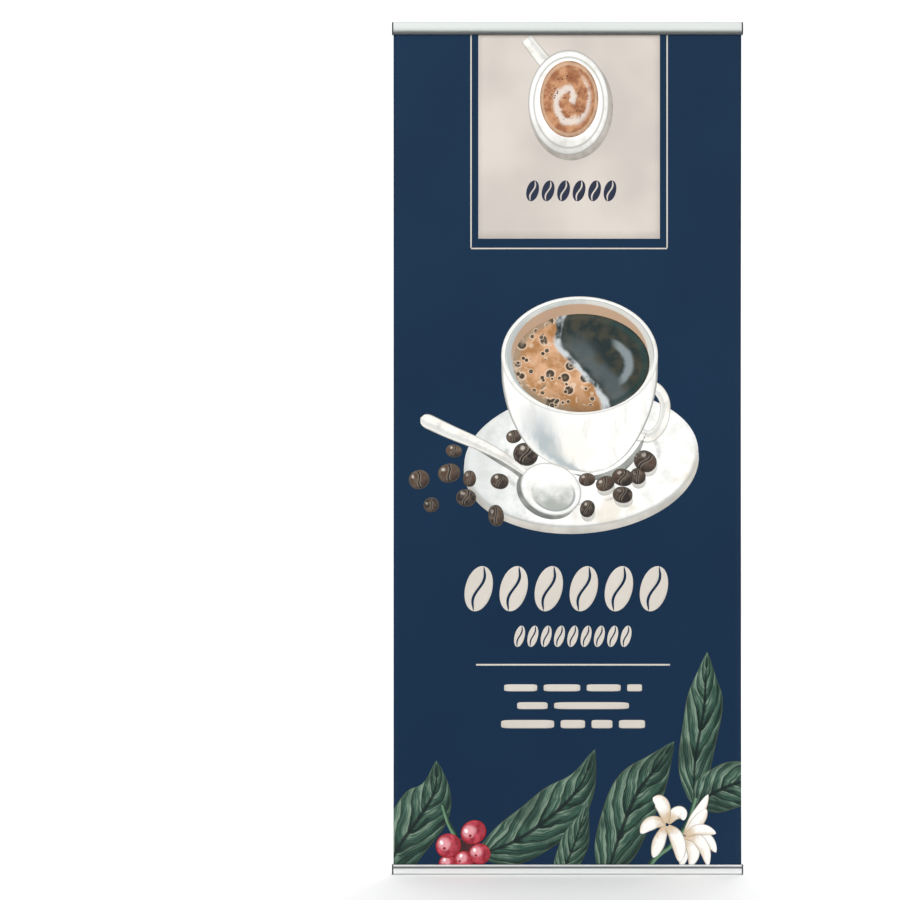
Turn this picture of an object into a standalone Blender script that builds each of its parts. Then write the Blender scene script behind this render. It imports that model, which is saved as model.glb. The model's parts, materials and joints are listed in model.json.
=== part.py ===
"""Banner stand: a printed film clamped between two aluminium rails, held up from behind by one bowed pole.

Metres, +Z up. The film hangs in the plane y = 0 and faces -Y. The origin is the middle of the bottom
rail's underside. The pole stands on a post at the rear of a foot arm, which swings on a bolt behind the
bottom rail, and its tip is hooked in a slotted fork behind the top rail.
"""

import math

import bmesh
import bpy
from mathutils import Matrix, Vector

# Overall sizes
STAND_HEIGHT = 1.960  # floor to the top of the top rail
RAIL_LENGTH = 0.800  # the aluminium, between the end caps
FIT_GAP = 0.0003  # between pieces that touch

# Film
FILM_THICKNESS = 0.0004
FILM_GRIP = 0.013  # how deep the film reaches into each rail

# Both rails
RAIL_BACK = 0.0063  # film plane to the back face
RAIL_FRONT = 0.0063  # film plane to the front face
RAIL_WALL = 0.0013
TOP_RAIL_HEIGHT = 0.029
BOTTOM_RAIL_HEIGHT = 0.0228
CLAMP_LIP = 0.0030  # height of the two lips that pinch the film
LIP_SETBACK = 0.0003  # the jaw's lip stands this far behind its grip strip
GRIP_DEPTH = 0.0016
GRIP_HEIGHT = 0.0014
FRONT_ROUNDNESS = 3.0  # exponent of the top rail's rounded front
FRONT_UNDERCUT = 0.0031  # how far the front draws in at the top rail's lower edge
UNDERCUT_HEIGHT = 0.0150  # where it starts to draw in, above the lower edge
FRONT_CREST = 0.001  # the jaw's front wall ends this far above the bead's arm
CAP_CROWN = 0.985  # share of the rail's height at which a cap's front meets its back

# Rail knuckles, the snap hinges along the rails
BEAD_RADIUS = 0.0022
SOCKET_WALL = 0.0012
KNUCKLE_ARM = 0.0014  # thickness of the web that carries the bead
TOP_KNUCKLE_Y = 0.0012
BOTTOM_KNUCKLE_Y = -0.0010
BOTTOM_KNUCKLE_Z = 0.0054

# Bottom rail front: a lip, a groove and a rounded body
FRONT_LIP = 0.0035
FRONT_GROOVE = 0.0046
GROOVE_DEPTH = 0.0014
BODY_BULGE = 0.0009
BODY_BOTTOM = 0.0031
BASE_FRONT_Y = -0.0019  # front edge of the flat base
BASE_PLATE = 0.0022

# End caps
CAP_THICKNESS = 0.0032
CAP_EDGE = 0.0006
CAP_SPIGOT = 0.012

# Foot pivot, behind the bottom rail
PIVOT_Y = 0.0265
BRACKET_PLATE = 0.0025
BRACKET_HALF_WIDTH = 0.030
BRACKET_BOTTOM = 0.0030
EAR_THICKNESS = 0.0026
EAR_RADIUS = 0.013
EAR_ROOT = 0.016  # half the ears' width at the plate
LOWER_EAR_Z = 0.0060
TONGUE_THICKNESS = 0.0078
FRICTION_WASHER = 0.0008
FRICTION_WASHER_RADIUS = 0.011
BOLT_RADIUS = 0.0030
BOLT_HEAD_RADIUS = 0.0052
BOLT_HEAD_HEIGHT = 0.0036
WASHER_RADIUS = 0.0062
WASHER_THICKNESS = 0.0010
NUT_RADIUS = 0.0055
NUT_HEIGHT = 0.0032
BUSH_WALL = 0.0015

# Small screws that hold the bracket and the fork
SCREW_RADIUS = 0.0016
SCREW_LENGTH = 0.0058  # under the head
SCREW_HEAD_RADIUS = 0.0032
SCREW_HEAD_HEIGHT = 0.0022
BRACKET_SCREW_X = 0.022
BRACKET_SCREW_ROWS = (0.0075, 0.0168)

# Foot arm
FOOT_REACH = 0.299  # pivot to post
FOOT_HEEL = 0.0245  # post to the rear end
FOOT_TOP = 0.0488
FOOT_ARCH = 0.0134
FOOT_SOLE = 0.0018
FOOT_HALF_WIDTH = 0.018
TONGUE_RADIUS = 0.013
ARM_START = 0.017  # where the arm grows out of the tongue, from the pivot
HEEL_ROUND = 0.034  # length of the rounded rear end, over the top
HEEL_UNDER = 0.012  # and along the underside
HEEL_POWER = 2.1  # 2 is a quarter circle
CREST_SHARE = 0.90  # share of the reach where the arm is highest and widest
CLIMB_POWER = 1.3  # how late the top climbs
ARCH_START = 0.60  # share of the reach where the underside comes down
ARCH_END = 0.97
WAIST_SHARE = 0.33  # height of the widest line in a cross section
TOP_SQUARENESS = 2.4  # exponents of a cross section's two halves
UNDER_SQUARENESS = 4.5
ROOT_SQUARENESS = 8.0  # added to both where the arm grows out of the square tongue
ROOT_LENGTH = 0.060  # and gone this much further on
TONGUE_OVERLAP = 0.004  # the tongue reaches this far into the arm
PAD_RADIUS = 0.012
PAD_THICKNESS = 0.0035

# Post
POST_RADIUS = 0.0063
POST_BOTTOM = 0.0163
POST_TOP = 0.1495
POST_FLANGE = 0.0030
SPIGOT_PLAY = 0.0021  # the pole leans on its straight spigot
POST_SPIGOT = 0.0225
POST_SCREW_RADIUS = 0.0025
POST_SCREW_HEAD = 0.0045
POST_SCREW_HEAD_HEIGHT = 0.0040
POST_SCREW_GRIP = 0.012  # length inside the post

# Pole
POLE_RADIUS = 0.0075
POLE_WALL = 0.0010
POLE_SECTIONS = 3
POLE_LEAN = 0.060  # slope just above the post
BEND_EASE = 0.020  # length over which the bend starts
FERRULE_PLAY = 0.0005  # between a ferrule and the bore of the tubes
FERRULE_BORE = 0.0028
FERRULE_HALF = 0.035
CORD_RADIUS = 0.0015
ANCHOR_HEIGHT = 0.012
ANCHOR_RISE = 0.0095  # from the top of the post's spigot to the anchor
KNOT_RADIUS = 0.0030

# Pole tip and its fork
FORK_DROP = 0.0170  # top of the stand down to the fork's upper face
FORK_THICKNESS = 0.0028
FORK_RADIUS = 0.012
FORK_PLATE_HALF = 0.021
FORK_PLATE_HEIGHT = 0.018
FORK_SCREW_X = 0.0155
NECK_RADIUS = 0.0023
SLOT_PLAY = 0.0005  # round the neck, which turns and swings out
HEAD_RADIUS = 0.0042
HEAD_HEIGHT = 0.0030
BALL_RADIUS = 0.0058
TIP_PLUG = 0.018

# Worked out
SOCKET_INNER = BEAD_RADIUS + FIT_GAP
SOCKET_OUTER = SOCKET_INNER + SOCKET_WALL
FILM_FACE = FILM_THICKNESS / 2 + FIT_GAP
TOP_RAIL_BOTTOM = STAND_HEIGHT - TOP_RAIL_HEIGHT
TOP_KNUCKLE = (TOP_KNUCKLE_Y, STAND_HEIGHT - SOCKET_OUTER)
BOTTOM_KNUCKLE = (BOTTOM_KNUCKLE_Y, BOTTOM_KNUCKLE_Z)
JAW_LENGTH = RAIL_LENGTH
CAP_FACE_X = RAIL_LENGTH / 2 + FIT_GAP
PLATE_FRONT_Y = RAIL_BACK + FIT_GAP
PLATE_BACK_Y = PLATE_FRONT_Y + BRACKET_PLATE
TONGUE_BOTTOM = LOWER_EAR_Z + EAR_THICKNESS + FRICTION_WASHER + 2 * FIT_GAP
TONGUE_TOP = TONGUE_BOTTOM + TONGUE_THICKNESS
UPPER_EAR_Z = TONGUE_TOP + FRICTION_WASHER + 2 * FIT_GAP
BRACKET_TOP = UPPER_EAR_Z + EAR_THICKNESS
POST_Y = PIVOT_Y + FOOT_REACH
FORK_TOP = STAND_HEIGHT - FORK_DROP
FORK_BOTTOM = FORK_TOP - FORK_THICKNESS
TIP_Z = FORK_BOTTOM - FIT_GAP - BALL_RADIUS
POLE_BORE = POLE_RADIUS - POLE_WALL
FERRULE_RADIUS = POLE_BORE - FERRULE_PLAY
POST_SPIGOT_RADIUS = POLE_BORE - SPIGOT_PLAY
POLE_BOTTOM = POST_TOP + FIT_GAP + POLE_RADIUS * POLE_LEAN  # the tube's square end leans over the flange
POLE_TOP = TIP_Z - BALL_RADIUS
SPIGOT_TOP = POST_TOP + POST_SPIGOT
ANCHOR_BOTTOM = SPIGOT_TOP + ANCHOR_RISE

WELD = 2e-6  # corners nearer than this are one corner
TURN_STEPS = 24
TUBE_RESOLUTION = 6
ACROSS = Matrix(((0, 0, 1, 0), (1, 0, 0, 0), (0, 1, 0, 0), (0, 0, 0, 1)))  # outline x, y to world Y, Z

FINISHES = {
    "anodised_aluminium": ((0.70, 0.71, 0.70), 0.34, 1.0),
    "silver_tube": ((0.66, 0.68, 0.69), 0.28, 1.0),
    "blue_grey_foot": ((0.115, 0.155, 0.215), 0.42, 0.0),
    "black_plastic": ((0.035, 0.037, 0.040), 0.50, 0.0),
    "rubber": ((0.030, 0.030, 0.030), 0.85, 0.0),
    "steel": ((0.60, 0.60, 0.61), 0.30, 1.0),
    "post_steel": ((0.09, 0.11, 0.11), 0.35, 1.0),
    "elastic_cord": ((0.70, 0.70, 0.68), 0.80, 0.0),
    "printed_film": ((0.014, 0.040, 0.087), 0.45, 0.0),
}


def clear_scene():
    for old in list(bpy.data.objects):
        bpy.data.objects.remove(old, do_unlink=True)


def new_collection(name):
    collection = bpy.data.collections.new(name)
    bpy.context.scene.collection.children.link(collection)
    return collection


def new_finish(name):
    colour, roughness, metallic = FINISHES[name]
    material = bpy.data.materials.new(name)
    material.use_nodes = True
    shader = material.node_tree.nodes["Principled BSDF"]
    shader.inputs["Base Color"].default_value = (*colour, 1.0)
    shader.inputs["Roughness"].default_value = roughness
    shader.inputs["Metallic"].default_value = metallic
    return material


clear_scene()
STAND = new_collection("banner_stand")
CUTTERS = new_collection("cutters")
MATERIALS = {name: new_finish(name) for name in FINISHES}


def place_mesh(name, mesh, finish):
    """A finished piece when it has a finish, and a hidden tool for Booleans when it has none."""
    piece = bpy.data.objects.new(name, mesh)
    if finish:
        mesh.materials.append(MATERIALS[finish])
        STAND.objects.link(piece)
    else:
        CUTTERS.objects.link(piece)
        piece.hide_render = True
        piece.display_type = "WIRE"
    mesh.shade_smooth()
    mesh.set_sharp_from_angle(angle=math.radians(30))
    return piece


def mesh_from(bm, name):
    mesh = bpy.data.meshes.new(name)
    bm.to_mesh(mesh)
    bm.free()
    return mesh


def mesh_of_curve(curve_object):
    """The curve's evaluated mesh, its caps welded, in world space. The curve is removed."""
    depsgraph = bpy.context.evaluated_depsgraph_get()
    mesh = bpy.data.meshes.new_from_object(curve_object.evaluated_get(depsgraph))
    mesh.transform(curve_object.matrix_world)
    bm = bmesh.new()
    bm.from_mesh(mesh)
    bmesh.ops.remove_doubles(bm, verts=bm.verts, dist=WELD)
    bm.to_mesh(mesh)
    bm.free()
    mesh.materials.clear()
    bpy.data.objects.remove(curve_object, do_unlink=True)
    return mesh


def extrusion(name, outline, thickness, frame, finish=None):
    """A flat outline made solid, half its thickness to each side of its plane, and placed by a matrix."""
    curve = bpy.data.curves.new(name, "CURVE")
    curve.dimensions = "2D"
    curve.fill_mode = "BOTH"
    curve.extrude = thickness / 2
    spline = curve.splines.new("POLY")
    spline.points.add(len(outline) - 1)
    for point, (x, y) in zip(spline.points, outline):
        point.co = (x, y, 0, 1)
    spline.use_cyclic_u = True
    drawn = bpy.data.objects.new(name + "_outline", curve)
    CUTTERS.objects.link(drawn)
    drawn.matrix_world = frame
    bpy.context.view_layer.update()
    return place_mesh(name, mesh_of_curve(drawn), finish)


def rail_length_of(name, outline, length, finish, centre_x=0.0):
    return extrusion(name, outline, length, Matrix.Translation((centre_x, 0, 0)) @ ACROSS, finish)


def block(name, low, high, finish=None):
    low, high = Vector(low), Vector(high)
    bm = bmesh.new()
    size = high - low
    bmesh.ops.create_cube(bm, size=1.0, matrix=Matrix.Translation((low + high) / 2) @ Matrix.Diagonal((*size, 1)))
    return place_mesh(name, mesh_from(bm, name), finish)


def rod(name, radius, start, end, finish=None, segments=TURN_STEPS):
    """A solid round bar between two points."""
    start, end = Vector(start), Vector(end)
    turn = (end - start).to_track_quat("Z", "Y").to_matrix().to_4x4()
    bm = bmesh.new()
    bmesh.ops.create_cone(
        bm,
        cap_ends=True,
        segments=segments,
        radius1=radius,
        radius2=radius,
        depth=(end - start).length,
        matrix=Matrix.Translation((start + end) / 2) @ turn,
    )
    return place_mesh(name, mesh_from(bm, name), finish)


def ball(name, radius, centre, finish=None):
    bm = bmesh.new()
    bmesh.ops.create_uvsphere(bm, u_segments=20, v_segments=12, radius=radius, matrix=Matrix.Translation(centre))
    return place_mesh(name, mesh_from(bm, name), finish)


def turned(name, profile, place, finish, steps=TURN_STEPS, direction="Z"):
    """A profile of (radius, height), from the top down its outer side, spun round its own upright axis."""
    bm = bmesh.new()
    corners = [bm.verts.new((radius, 0, height)) for radius, height in profile]
    for first, second in zip(corners, corners[1:]):
        bm.edges.new((first, second))
    if profile[0][0] > 0:
        bm.edges.new((corners[-1], corners[0]))
    piece = place_mesh(name, mesh_from(bm, name), finish)
    screw = piece.modifiers.new("spin", "SCREW")
    screw.axis = "Z"
    screw.steps = steps
    screw.render_steps = steps
    screw.use_merge_vertices = True
    screw.merge_threshold = WELD
    piece.location = place
    if direction == "Y":
        piece.rotation_euler = (-math.pi / 2, 0, 0)
    return piece


def combine(piece, tool, operation):
    modifier = piece.modifiers.new(tool.name, "BOOLEAN")
    modifier.operation = operation
    modifier.object = tool
    modifier.solver = "EXACT"


def cut(piece, *tools):
    for tool in tools:
        combine(piece, tool, "DIFFERENCE")


def add(piece, *tools):
    for tool in tools:
        combine(piece, tool, "UNION")


def arc(centre, radius, start, end, steps):
    """Points on a round stretch of an outline, between two angles in degrees."""
    angles = [math.radians(start + (end - start) * i / steps) for i in range(steps + 1)]
    return [(centre[0] + radius * math.cos(a), centre[1] + radius * math.sin(a)) for a in angles]


def steps_between(start, end, count):
    return [start + (end - start) * i / count for i in range(count + 1)]


# Rails


def rounded_front(height, inset=0.0):
    """How far forward of the film plane the top rail's front stands, at a height above its underside."""
    share = min(1.0, height / (TOP_RAIL_HEIGHT - inset))
    above = (RAIL_FRONT - inset) * (1 - share**FRONT_ROUNDNESS) ** (1 / FRONT_ROUNDNESS)
    below = max(0.0, 1 - height / UNDERCUT_HEIGHT)
    return above - FRONT_UNDERCUT * below**2


def clear_of_socket(knuckle, z):
    """The furthest back that a jaw may reach at a height, so that it passes round the socket."""
    reach = SOCKET_OUTER + FIT_GAP
    return knuckle[0] - math.sqrt(max(0.0, reach**2 - (z - knuckle[1]) ** 2))


def bead(knuckle):
    """The bead's outline, from the top of its arm round to the underside of its arm."""
    spread = 180 - math.degrees(math.asin(KNUCKLE_ARM / 2 / BEAD_RADIUS))
    return arc(knuckle, BEAD_RADIUS, spread, -spread, 14)


def grip_slot(middle):
    """The slot in a jaw's lip that holds the grip strip, from above to below."""
    face = -FILM_FACE - LIP_SETBACK
    bottom = -FILM_FACE - GRIP_DEPTH - FIT_GAP
    half = GRIP_HEIGHT / 2 + FIT_GAP
    return [(face, middle + half), (bottom, middle + half), (bottom, middle - half), (face, middle - half)]


def back_shoulder():
    """The back wall's top corner and the round top of the socket, which it meets in a tangent."""
    lean = 20
    crown = arc(TOP_KNUCKLE, SOCKET_OUTER, lean, 100, 6)
    drop = (RAIL_BACK - crown[0][0]) / math.tan(math.radians(lean))
    return [(RAIL_BACK, crown[0][1] - drop)] + crown


def top_back_outline():
    inner = RAIL_BACK - RAIL_WALL
    ledge = TOP_RAIL_BOTTOM + CLAMP_LIP
    web = TOP_KNUCKLE[1] - SOCKET_OUTER - RAIL_WALL
    outline = [(FILM_FACE, TOP_RAIL_BOTTOM), (RAIL_BACK, TOP_RAIL_BOTTOM)]
    outline += back_shoulder()
    outline += arc(TOP_KNUCKLE, SOCKET_INNER, 100, -155, 16)
    outline += arc(TOP_KNUCKLE, SOCKET_OUTER, -155, -60, 6)
    outline += [(inner, web), (inner, ledge), (FILM_FACE, ledge)]
    return outline


def top_jaw_outline():
    end = TOP_KNUCKLE[1] + KNUCKLE_ARM / 2 + FRONT_CREST
    above = TOP_KNUCKLE[1] + KNUCKLE_ARM / 2
    below = TOP_KNUCKLE[1] - KNUCKLE_ARM / 2
    lip = TOP_RAIL_BOTTOM + CLAMP_LIP

    def outer(z):
        return (-rounded_front(z - TOP_RAIL_BOTTOM), z)

    def inner(z):
        wall = -rounded_front(z - TOP_RAIL_BOTTOM, RAIL_WALL)
        return (min(wall, clear_of_socket(TOP_KNUCKLE, z)), z)

    outline = [(-FILM_FACE - LIP_SETBACK, TOP_RAIL_BOTTOM)]
    outline += [outer(z) for z in steps_between(TOP_RAIL_BOTTOM, end, 18)]
    outline += [inner(end), inner(above)] + bead(TOP_KNUCKLE)
    outline += [inner(z) for z in steps_between(below, lip, 12)]
    outline += [(-FILM_FACE - LIP_SETBACK, lip)] + grip_slot(TOP_RAIL_BOTTOM + CLAMP_LIP / 2)
    return outline


def body_front(count, inset=0.0):
    """The bottom rail's rounded body, from just under the groove down to its lower edge."""
    top = BOTTOM_RAIL_HEIGHT - FRONT_LIP - FRONT_GROOVE
    half = (top - BODY_BOTTOM) / 2
    radius = (half**2 + BODY_BULGE**2) / (2 * BODY_BULGE)
    middle = BODY_BOTTOM + half
    front = RAIL_FRONT - inset
    return [
        (-(front - radius + math.sqrt(radius**2 - (z - middle) ** 2)), z)
        for z in steps_between(top, BODY_BOTTOM, count)
    ]


def bottom_back_outline():
    inner = RAIL_BACK - RAIL_WALL
    ledge = BOTTOM_RAIL_HEIGHT - CLAMP_LIP
    dip = math.degrees(math.asin((BOTTOM_KNUCKLE_Z - BASE_PLATE) / SOCKET_OUTER))
    outline = [(FILM_FACE, BOTTOM_RAIL_HEIGHT), (FILM_FACE, ledge), (inner, ledge), (inner, BASE_PLATE)]
    outline += arc(BOTTOM_KNUCKLE, SOCKET_OUTER, -dip, 155, 12)
    outline += arc(BOTTOM_KNUCKLE, SOCKET_INNER, 155, -110, 16)
    outline += arc(BOTTOM_KNUCKLE, SOCKET_OUTER, -110, -105, 1)
    outline += [(BASE_FRONT_Y, 0), (RAIL_BACK, 0), (RAIL_BACK, BOTTOM_RAIL_HEIGHT)]
    return outline


def bottom_jaw_outline():
    top = BOTTOM_RAIL_HEIGHT
    ledge = top - CLAMP_LIP
    groove_top = top - FRONT_LIP
    body_top = groove_top - FRONT_GROOVE
    front = RAIL_FRONT - BODY_BULGE / 2
    groove = RAIL_FRONT - BODY_BULGE - GROOVE_DEPTH
    above = BOTTOM_KNUCKLE_Z + KNUCKLE_ARM / 2
    below = BOTTOM_KNUCKLE_Z - KNUCKLE_ARM / 2
    inside = [p for p in body_front(12, RAIL_WALL) if above < p[1] < body_top - RAIL_WALL]
    arm = inside[-1][0]
    outline = [(-FILM_FACE - LIP_SETBACK, top), (-front, top), (-front, groove_top)]
    outline += [(-groove, groove_top), (-groove, body_top)] + body_front(12)
    outline += [(clear_of_socket(BOTTOM_KNUCKLE, BODY_BOTTOM), BODY_BOTTOM)]
    outline += [(clear_of_socket(BOTTOM_KNUCKLE, below), below)]
    outline += bead(BOTTOM_KNUCKLE)[::-1]
    outline += [(arm, above)] + inside[::-1]
    outline += [(-groove + RAIL_WALL, body_top - RAIL_WALL), (-groove + RAIL_WALL, ledge)]
    outline += [(-FILM_FACE - LIP_SETBACK, ledge)] + grip_slot(top - CLAMP_LIP / 2)[::-1]
    return outline


def top_cap_outline():
    heights = steps_between(TOP_RAIL_HEIGHT * CAP_CROWN, 0, 20)
    outline = [(RAIL_BACK, TOP_RAIL_BOTTOM)] + back_shoulder()
    outline += [(-rounded_front(height), TOP_RAIL_BOTTOM + height) for height in heights]
    return outline


def bottom_cap_outline():
    front = RAIL_FRONT - BODY_BULGE / 2
    outline = [(RAIL_BACK, 0), (RAIL_BACK, BOTTOM_RAIL_HEIGHT), (-front, BOTTOM_RAIL_HEIGHT)]
    outline += body_front(10)
    outline += [(BASE_FRONT_Y - FRONT_LIP / 2, BODY_BOTTOM / 4), (BASE_FRONT_Y, 0)]
    return outline


def screw_holes(name, places, height_pairs):
    """Holes along Y through a plate and the rail wall behind it."""
    tools = []
    for number, (x, z) in enumerate([(x, z) for x in places for z in height_pairs], 1):
        start = (x, RAIL_BACK - 2 * RAIL_WALL, z)
        end = (x, PLATE_BACK_Y + RAIL_WALL, z)
        tools.append(rod(f"{name}_{number}", SCREW_RADIUS + FIT_GAP, start, end, segments=16))
    return tools


def small_screws(name, places, rows):
    for number, (x, z) in enumerate([(x, z) for x in places for z in rows], 1):
        head = SCREW_HEAD_HEIGHT
        profile = [(0, head), (SCREW_HEAD_RADIUS * 0.6, head), (SCREW_HEAD_RADIUS, head * 0.35)]
        profile += [(SCREW_HEAD_RADIUS, 0), (SCREW_RADIUS, 0), (SCREW_RADIUS, -SCREW_LENGTH + SCREW_RADIUS)]
        profile += [(0, -SCREW_LENGTH)]
        turned(f"{name}_{number}", profile, (x, PLATE_BACK_Y + FIT_GAP, z), "steel", 16, "Y")


def end_cap(name, side, outline, spigot_low, spigot_high):
    """A cap on one end of a rail: a plate over the profile and a spigot pushed into it, behind the film."""
    middle = side * (CAP_FACE_X + CAP_THICKNESS / 2)
    cap = rail_length_of(name, outline, CAP_THICKNESS, "black_plastic", middle)
    edge = cap.modifiers.new("edge", "BEVEL")
    edge.width = CAP_EDGE
    edge.segments = 2
    edge.limit_method = "ANGLE"
    edge.angle_limit = math.radians(50)
    near = side * (CAP_FACE_X - CAP_SPIGOT)
    far = side * (CAP_FACE_X + CAP_THICKNESS / 2)
    low = (min(near, far), FILM_FACE + FIT_GAP, spigot_low)
    high = (max(near, far), RAIL_BACK - RAIL_WALL - FIT_GAP, spigot_high)
    add(cap, block(name + "_spigot", low, high))


def make_top_rail():
    back = rail_length_of("top_rail_back", top_back_outline(), RAIL_LENGTH, "anodised_aluminium")
    rail_length_of("top_rail_jaw", top_jaw_outline(), JAW_LENGTH, "anodised_aluminium")
    make_grip("top_jaw_grip", TOP_RAIL_BOTTOM + CLAMP_LIP / 2)
    low = TOP_RAIL_BOTTOM + CLAMP_LIP + FIT_GAP
    high = TOP_KNUCKLE[1] - SOCKET_OUTER - RAIL_WALL - FIT_GAP
    for side, label in ((-1, "left"), (1, "right")):
        end_cap(f"top_rail_cap_{label}", side, top_cap_outline(), low, high)
    return back


def make_bottom_rail():
    back = rail_length_of("bottom_rail_back", bottom_back_outline(), RAIL_LENGTH, "anodised_aluminium")
    rail_length_of("bottom_rail_jaw", bottom_jaw_outline(), JAW_LENGTH, "anodised_aluminium")
    make_grip("bottom_jaw_grip", BOTTOM_RAIL_HEIGHT - CLAMP_LIP / 2)
    low = BOTTOM_KNUCKLE_Z + SOCKET_OUTER + FIT_GAP
    high = BOTTOM_RAIL_HEIGHT - CLAMP_LIP - FIT_GAP
    for side, label in ((-1, "left"), (1, "right")):
        end_cap(f"bottom_rail_cap_{label}", side, bottom_cap_outline(), low, high)
    return back


def make_grip(name, middle):
    low = (-JAW_LENGTH / 2, -FILM_FACE - GRIP_DEPTH, middle - GRIP_HEIGHT / 2)
    high = (JAW_LENGTH / 2, -FILM_FACE, middle + GRIP_HEIGHT / 2)
    block(name, low, high, "rubber")


def make_film():
    low = (-RAIL_LENGTH / 2, -FILM_THICKNESS / 2, BOTTOM_RAIL_HEIGHT - FILM_GRIP)
    high = (RAIL_LENGTH / 2, FILM_THICKNESS / 2, TOP_RAIL_BOTTOM + FILM_GRIP)
    block("banner_film", low, high, "printed_film")


# Foot bracket and pivot


def upright(height_low, height_high):
    """Places an outline drawn in plan between two heights."""
    return Matrix.Translation((0, 0, (height_low + height_high) / 2))


def ear(name, radius, root, low, high):
    """A flat ear, from inside the plate out to a round end about the pivot."""
    start = PLATE_BACK_Y - BRACKET_PLATE / 2
    outline = [(-root, start), (root, start)] + arc((0, PIVOT_Y), radius, 0, 180, 16)
    return extrusion(name, outline, high - low, upright(low, high))


def make_foot_bracket(rail):
    """A plate on the back of the bottom rail with two ears, which the foot's tongue sits between."""
    low = (-BRACKET_HALF_WIDTH, PLATE_FRONT_Y, BRACKET_BOTTOM)
    high = (BRACKET_HALF_WIDTH, PLATE_BACK_Y, BRACKET_TOP)
    bracket = block("foot_bracket", low, high, "anodised_aluminium")
    for label, bottom in (("lower", LOWER_EAR_Z), ("upper", UPPER_EAR_Z)):
        top = min(bottom + EAR_THICKNESS, BRACKET_TOP - 1e-4)
        add(bracket, ear(f"{label}_ear", EAR_RADIUS, EAR_ROOT, bottom, top))
    cut(bracket, rod("pivot_hole", BOLT_RADIUS + FIT_GAP, (0, PIVOT_Y, 0), (0, PIVOT_Y, 2 * BRACKET_TOP)))
    sides = (-BRACKET_SCREW_X, BRACKET_SCREW_X)
    holes = screw_holes("bracket_hole", sides, BRACKET_SCREW_ROWS)
    cut(bracket, *holes)
    cut(rail, *holes)
    small_screws("foot_bracket_screw", sides, BRACKET_SCREW_ROWS)


def ring(name, outer, inner, low, high, finish):
    profile = [(inner, high), (outer, high), (outer, low), (inner, low)]
    turned(name, profile, (0, PIVOT_Y, 0), finish)


def make_pivot():
    """The bolt that the foot swings on, with its nut and washers, from the top down."""
    head_low = BRACKET_TOP + FIT_GAP
    head_high = head_low + BOLT_HEAD_HEIGHT
    washer_high = LOWER_EAR_Z - FIT_GAP
    washer_low = washer_high - WASHER_THICKNESS
    nut_high = washer_low - FIT_GAP
    nut_low = nut_high - NUT_HEIGHT
    profile = [(0, head_high), (BOLT_HEAD_RADIUS * 0.7, head_high)]
    profile += [(BOLT_HEAD_RADIUS, head_high - BOLT_HEAD_HEIGHT * 0.5), (BOLT_HEAD_RADIUS, head_low)]
    profile += [(BOLT_RADIUS, head_low), (BOLT_RADIUS, nut_low), (0, nut_low)]
    turned("pivot_bolt", profile, (0, PIVOT_Y, 0), "steel")
    clear = BOLT_RADIUS + FIT_GAP
    ring("pivot_washer", WASHER_RADIUS, clear, washer_low, washer_high, "steel")
    nut = rod("pivot_nut", NUT_RADIUS, (0, PIVOT_Y, nut_low), (0, PIVOT_Y, nut_high), "steel", 6)
    cut(nut, rod("nut_thread", clear, (0, PIVOT_Y, -NUT_HEIGHT), (0, PIVOT_Y, 2 * nut_high)))
    low = LOWER_EAR_Z + EAR_THICKNESS + FIT_GAP
    ring("friction_washer_lower", FRICTION_WASHER_RADIUS, clear, low, low + FRICTION_WASHER, "black_plastic")
    low = TONGUE_TOP + FIT_GAP
    ring("friction_washer_upper", FRICTION_WASHER_RADIUS, clear, low, low + FRICTION_WASHER, "black_plastic")
    ring("foot_pivot_bush", clear + BUSH_WALL, clear, TONGUE_BOTTOM, TONGUE_TOP, "black_plastic")


# Foot


def smooth(start, end, value):
    share = min(1.0, max(0.0, (value - start) / (end - start)))
    return share * share * (3 - 2 * share)


def heel(reach, length):
    """A share that falls from 1 to 0 over the rounded rear end, as a quarter circle does."""
    end = FOOT_REACH + FOOT_HEEL
    share = min(1.0, max(0.0, (reach - (end - length)) / length))
    return math.sqrt(max(0.0, 1 - share**HEEL_POWER))


def arm_section(reach):
    """Half width, underside, middle and top of the arm, at a distance from the pivot."""
    crest = FOOT_REACH * CREST_SHARE
    share = min(1.0, (reach - ARM_START) / (crest - ARM_START))
    climb = math.sin(math.pi / 2 * share) ** CLIMB_POWER
    top = TONGUE_TOP + (FOOT_TOP - TONGUE_TOP) * climb
    arch = TONGUE_BOTTOM + (FOOT_ARCH - TONGUE_BOTTOM) * smooth(ARM_START, FOOT_REACH / 3, reach)
    bottom = arch - (arch - FOOT_SOLE) * smooth(FOOT_REACH * ARCH_START, FOOT_REACH * ARCH_END, reach)
    half = TONGUE_RADIUS + (FOOT_HALF_WIDTH - TONGUE_RADIUS) * smooth(ARM_START, crest, reach)
    middle = bottom + WAIST_SHARE * (top - bottom)
    top = middle + (top - middle) * heel(reach, HEEL_ROUND)
    bottom = middle - (middle - bottom) * heel(reach, HEEL_UNDER)
    return half * heel(reach, HEEL_ROUND), bottom, middle, top


def arm_ring(bm, reach, corners=28):
    """One cross section: an arched top over a flatter, squarer underside."""
    half, bottom, middle, top = arm_section(reach)
    squarer = ROOT_SQUARENESS * (1 - smooth(ARM_START, ARM_START + ROOT_LENGTH, reach))
    ring_verts = []
    for i in range(corners):
        angle = 2 * math.pi * i / corners
        side, rise = math.cos(angle), math.sin(angle)
        exponent = 2 / (squarer + (TOP_SQUARENESS if rise >= 0 else UNDER_SQUARENESS))
        x = half * math.copysign(abs(side) ** exponent, side)
        height = abs(rise) ** exponent
        z = middle + (top - middle) * height if rise >= 0 else middle - (middle - bottom) * height
        ring_verts.append(bm.verts.new((x, PIVOT_Y + reach, z)))
    return ring_verts


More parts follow.
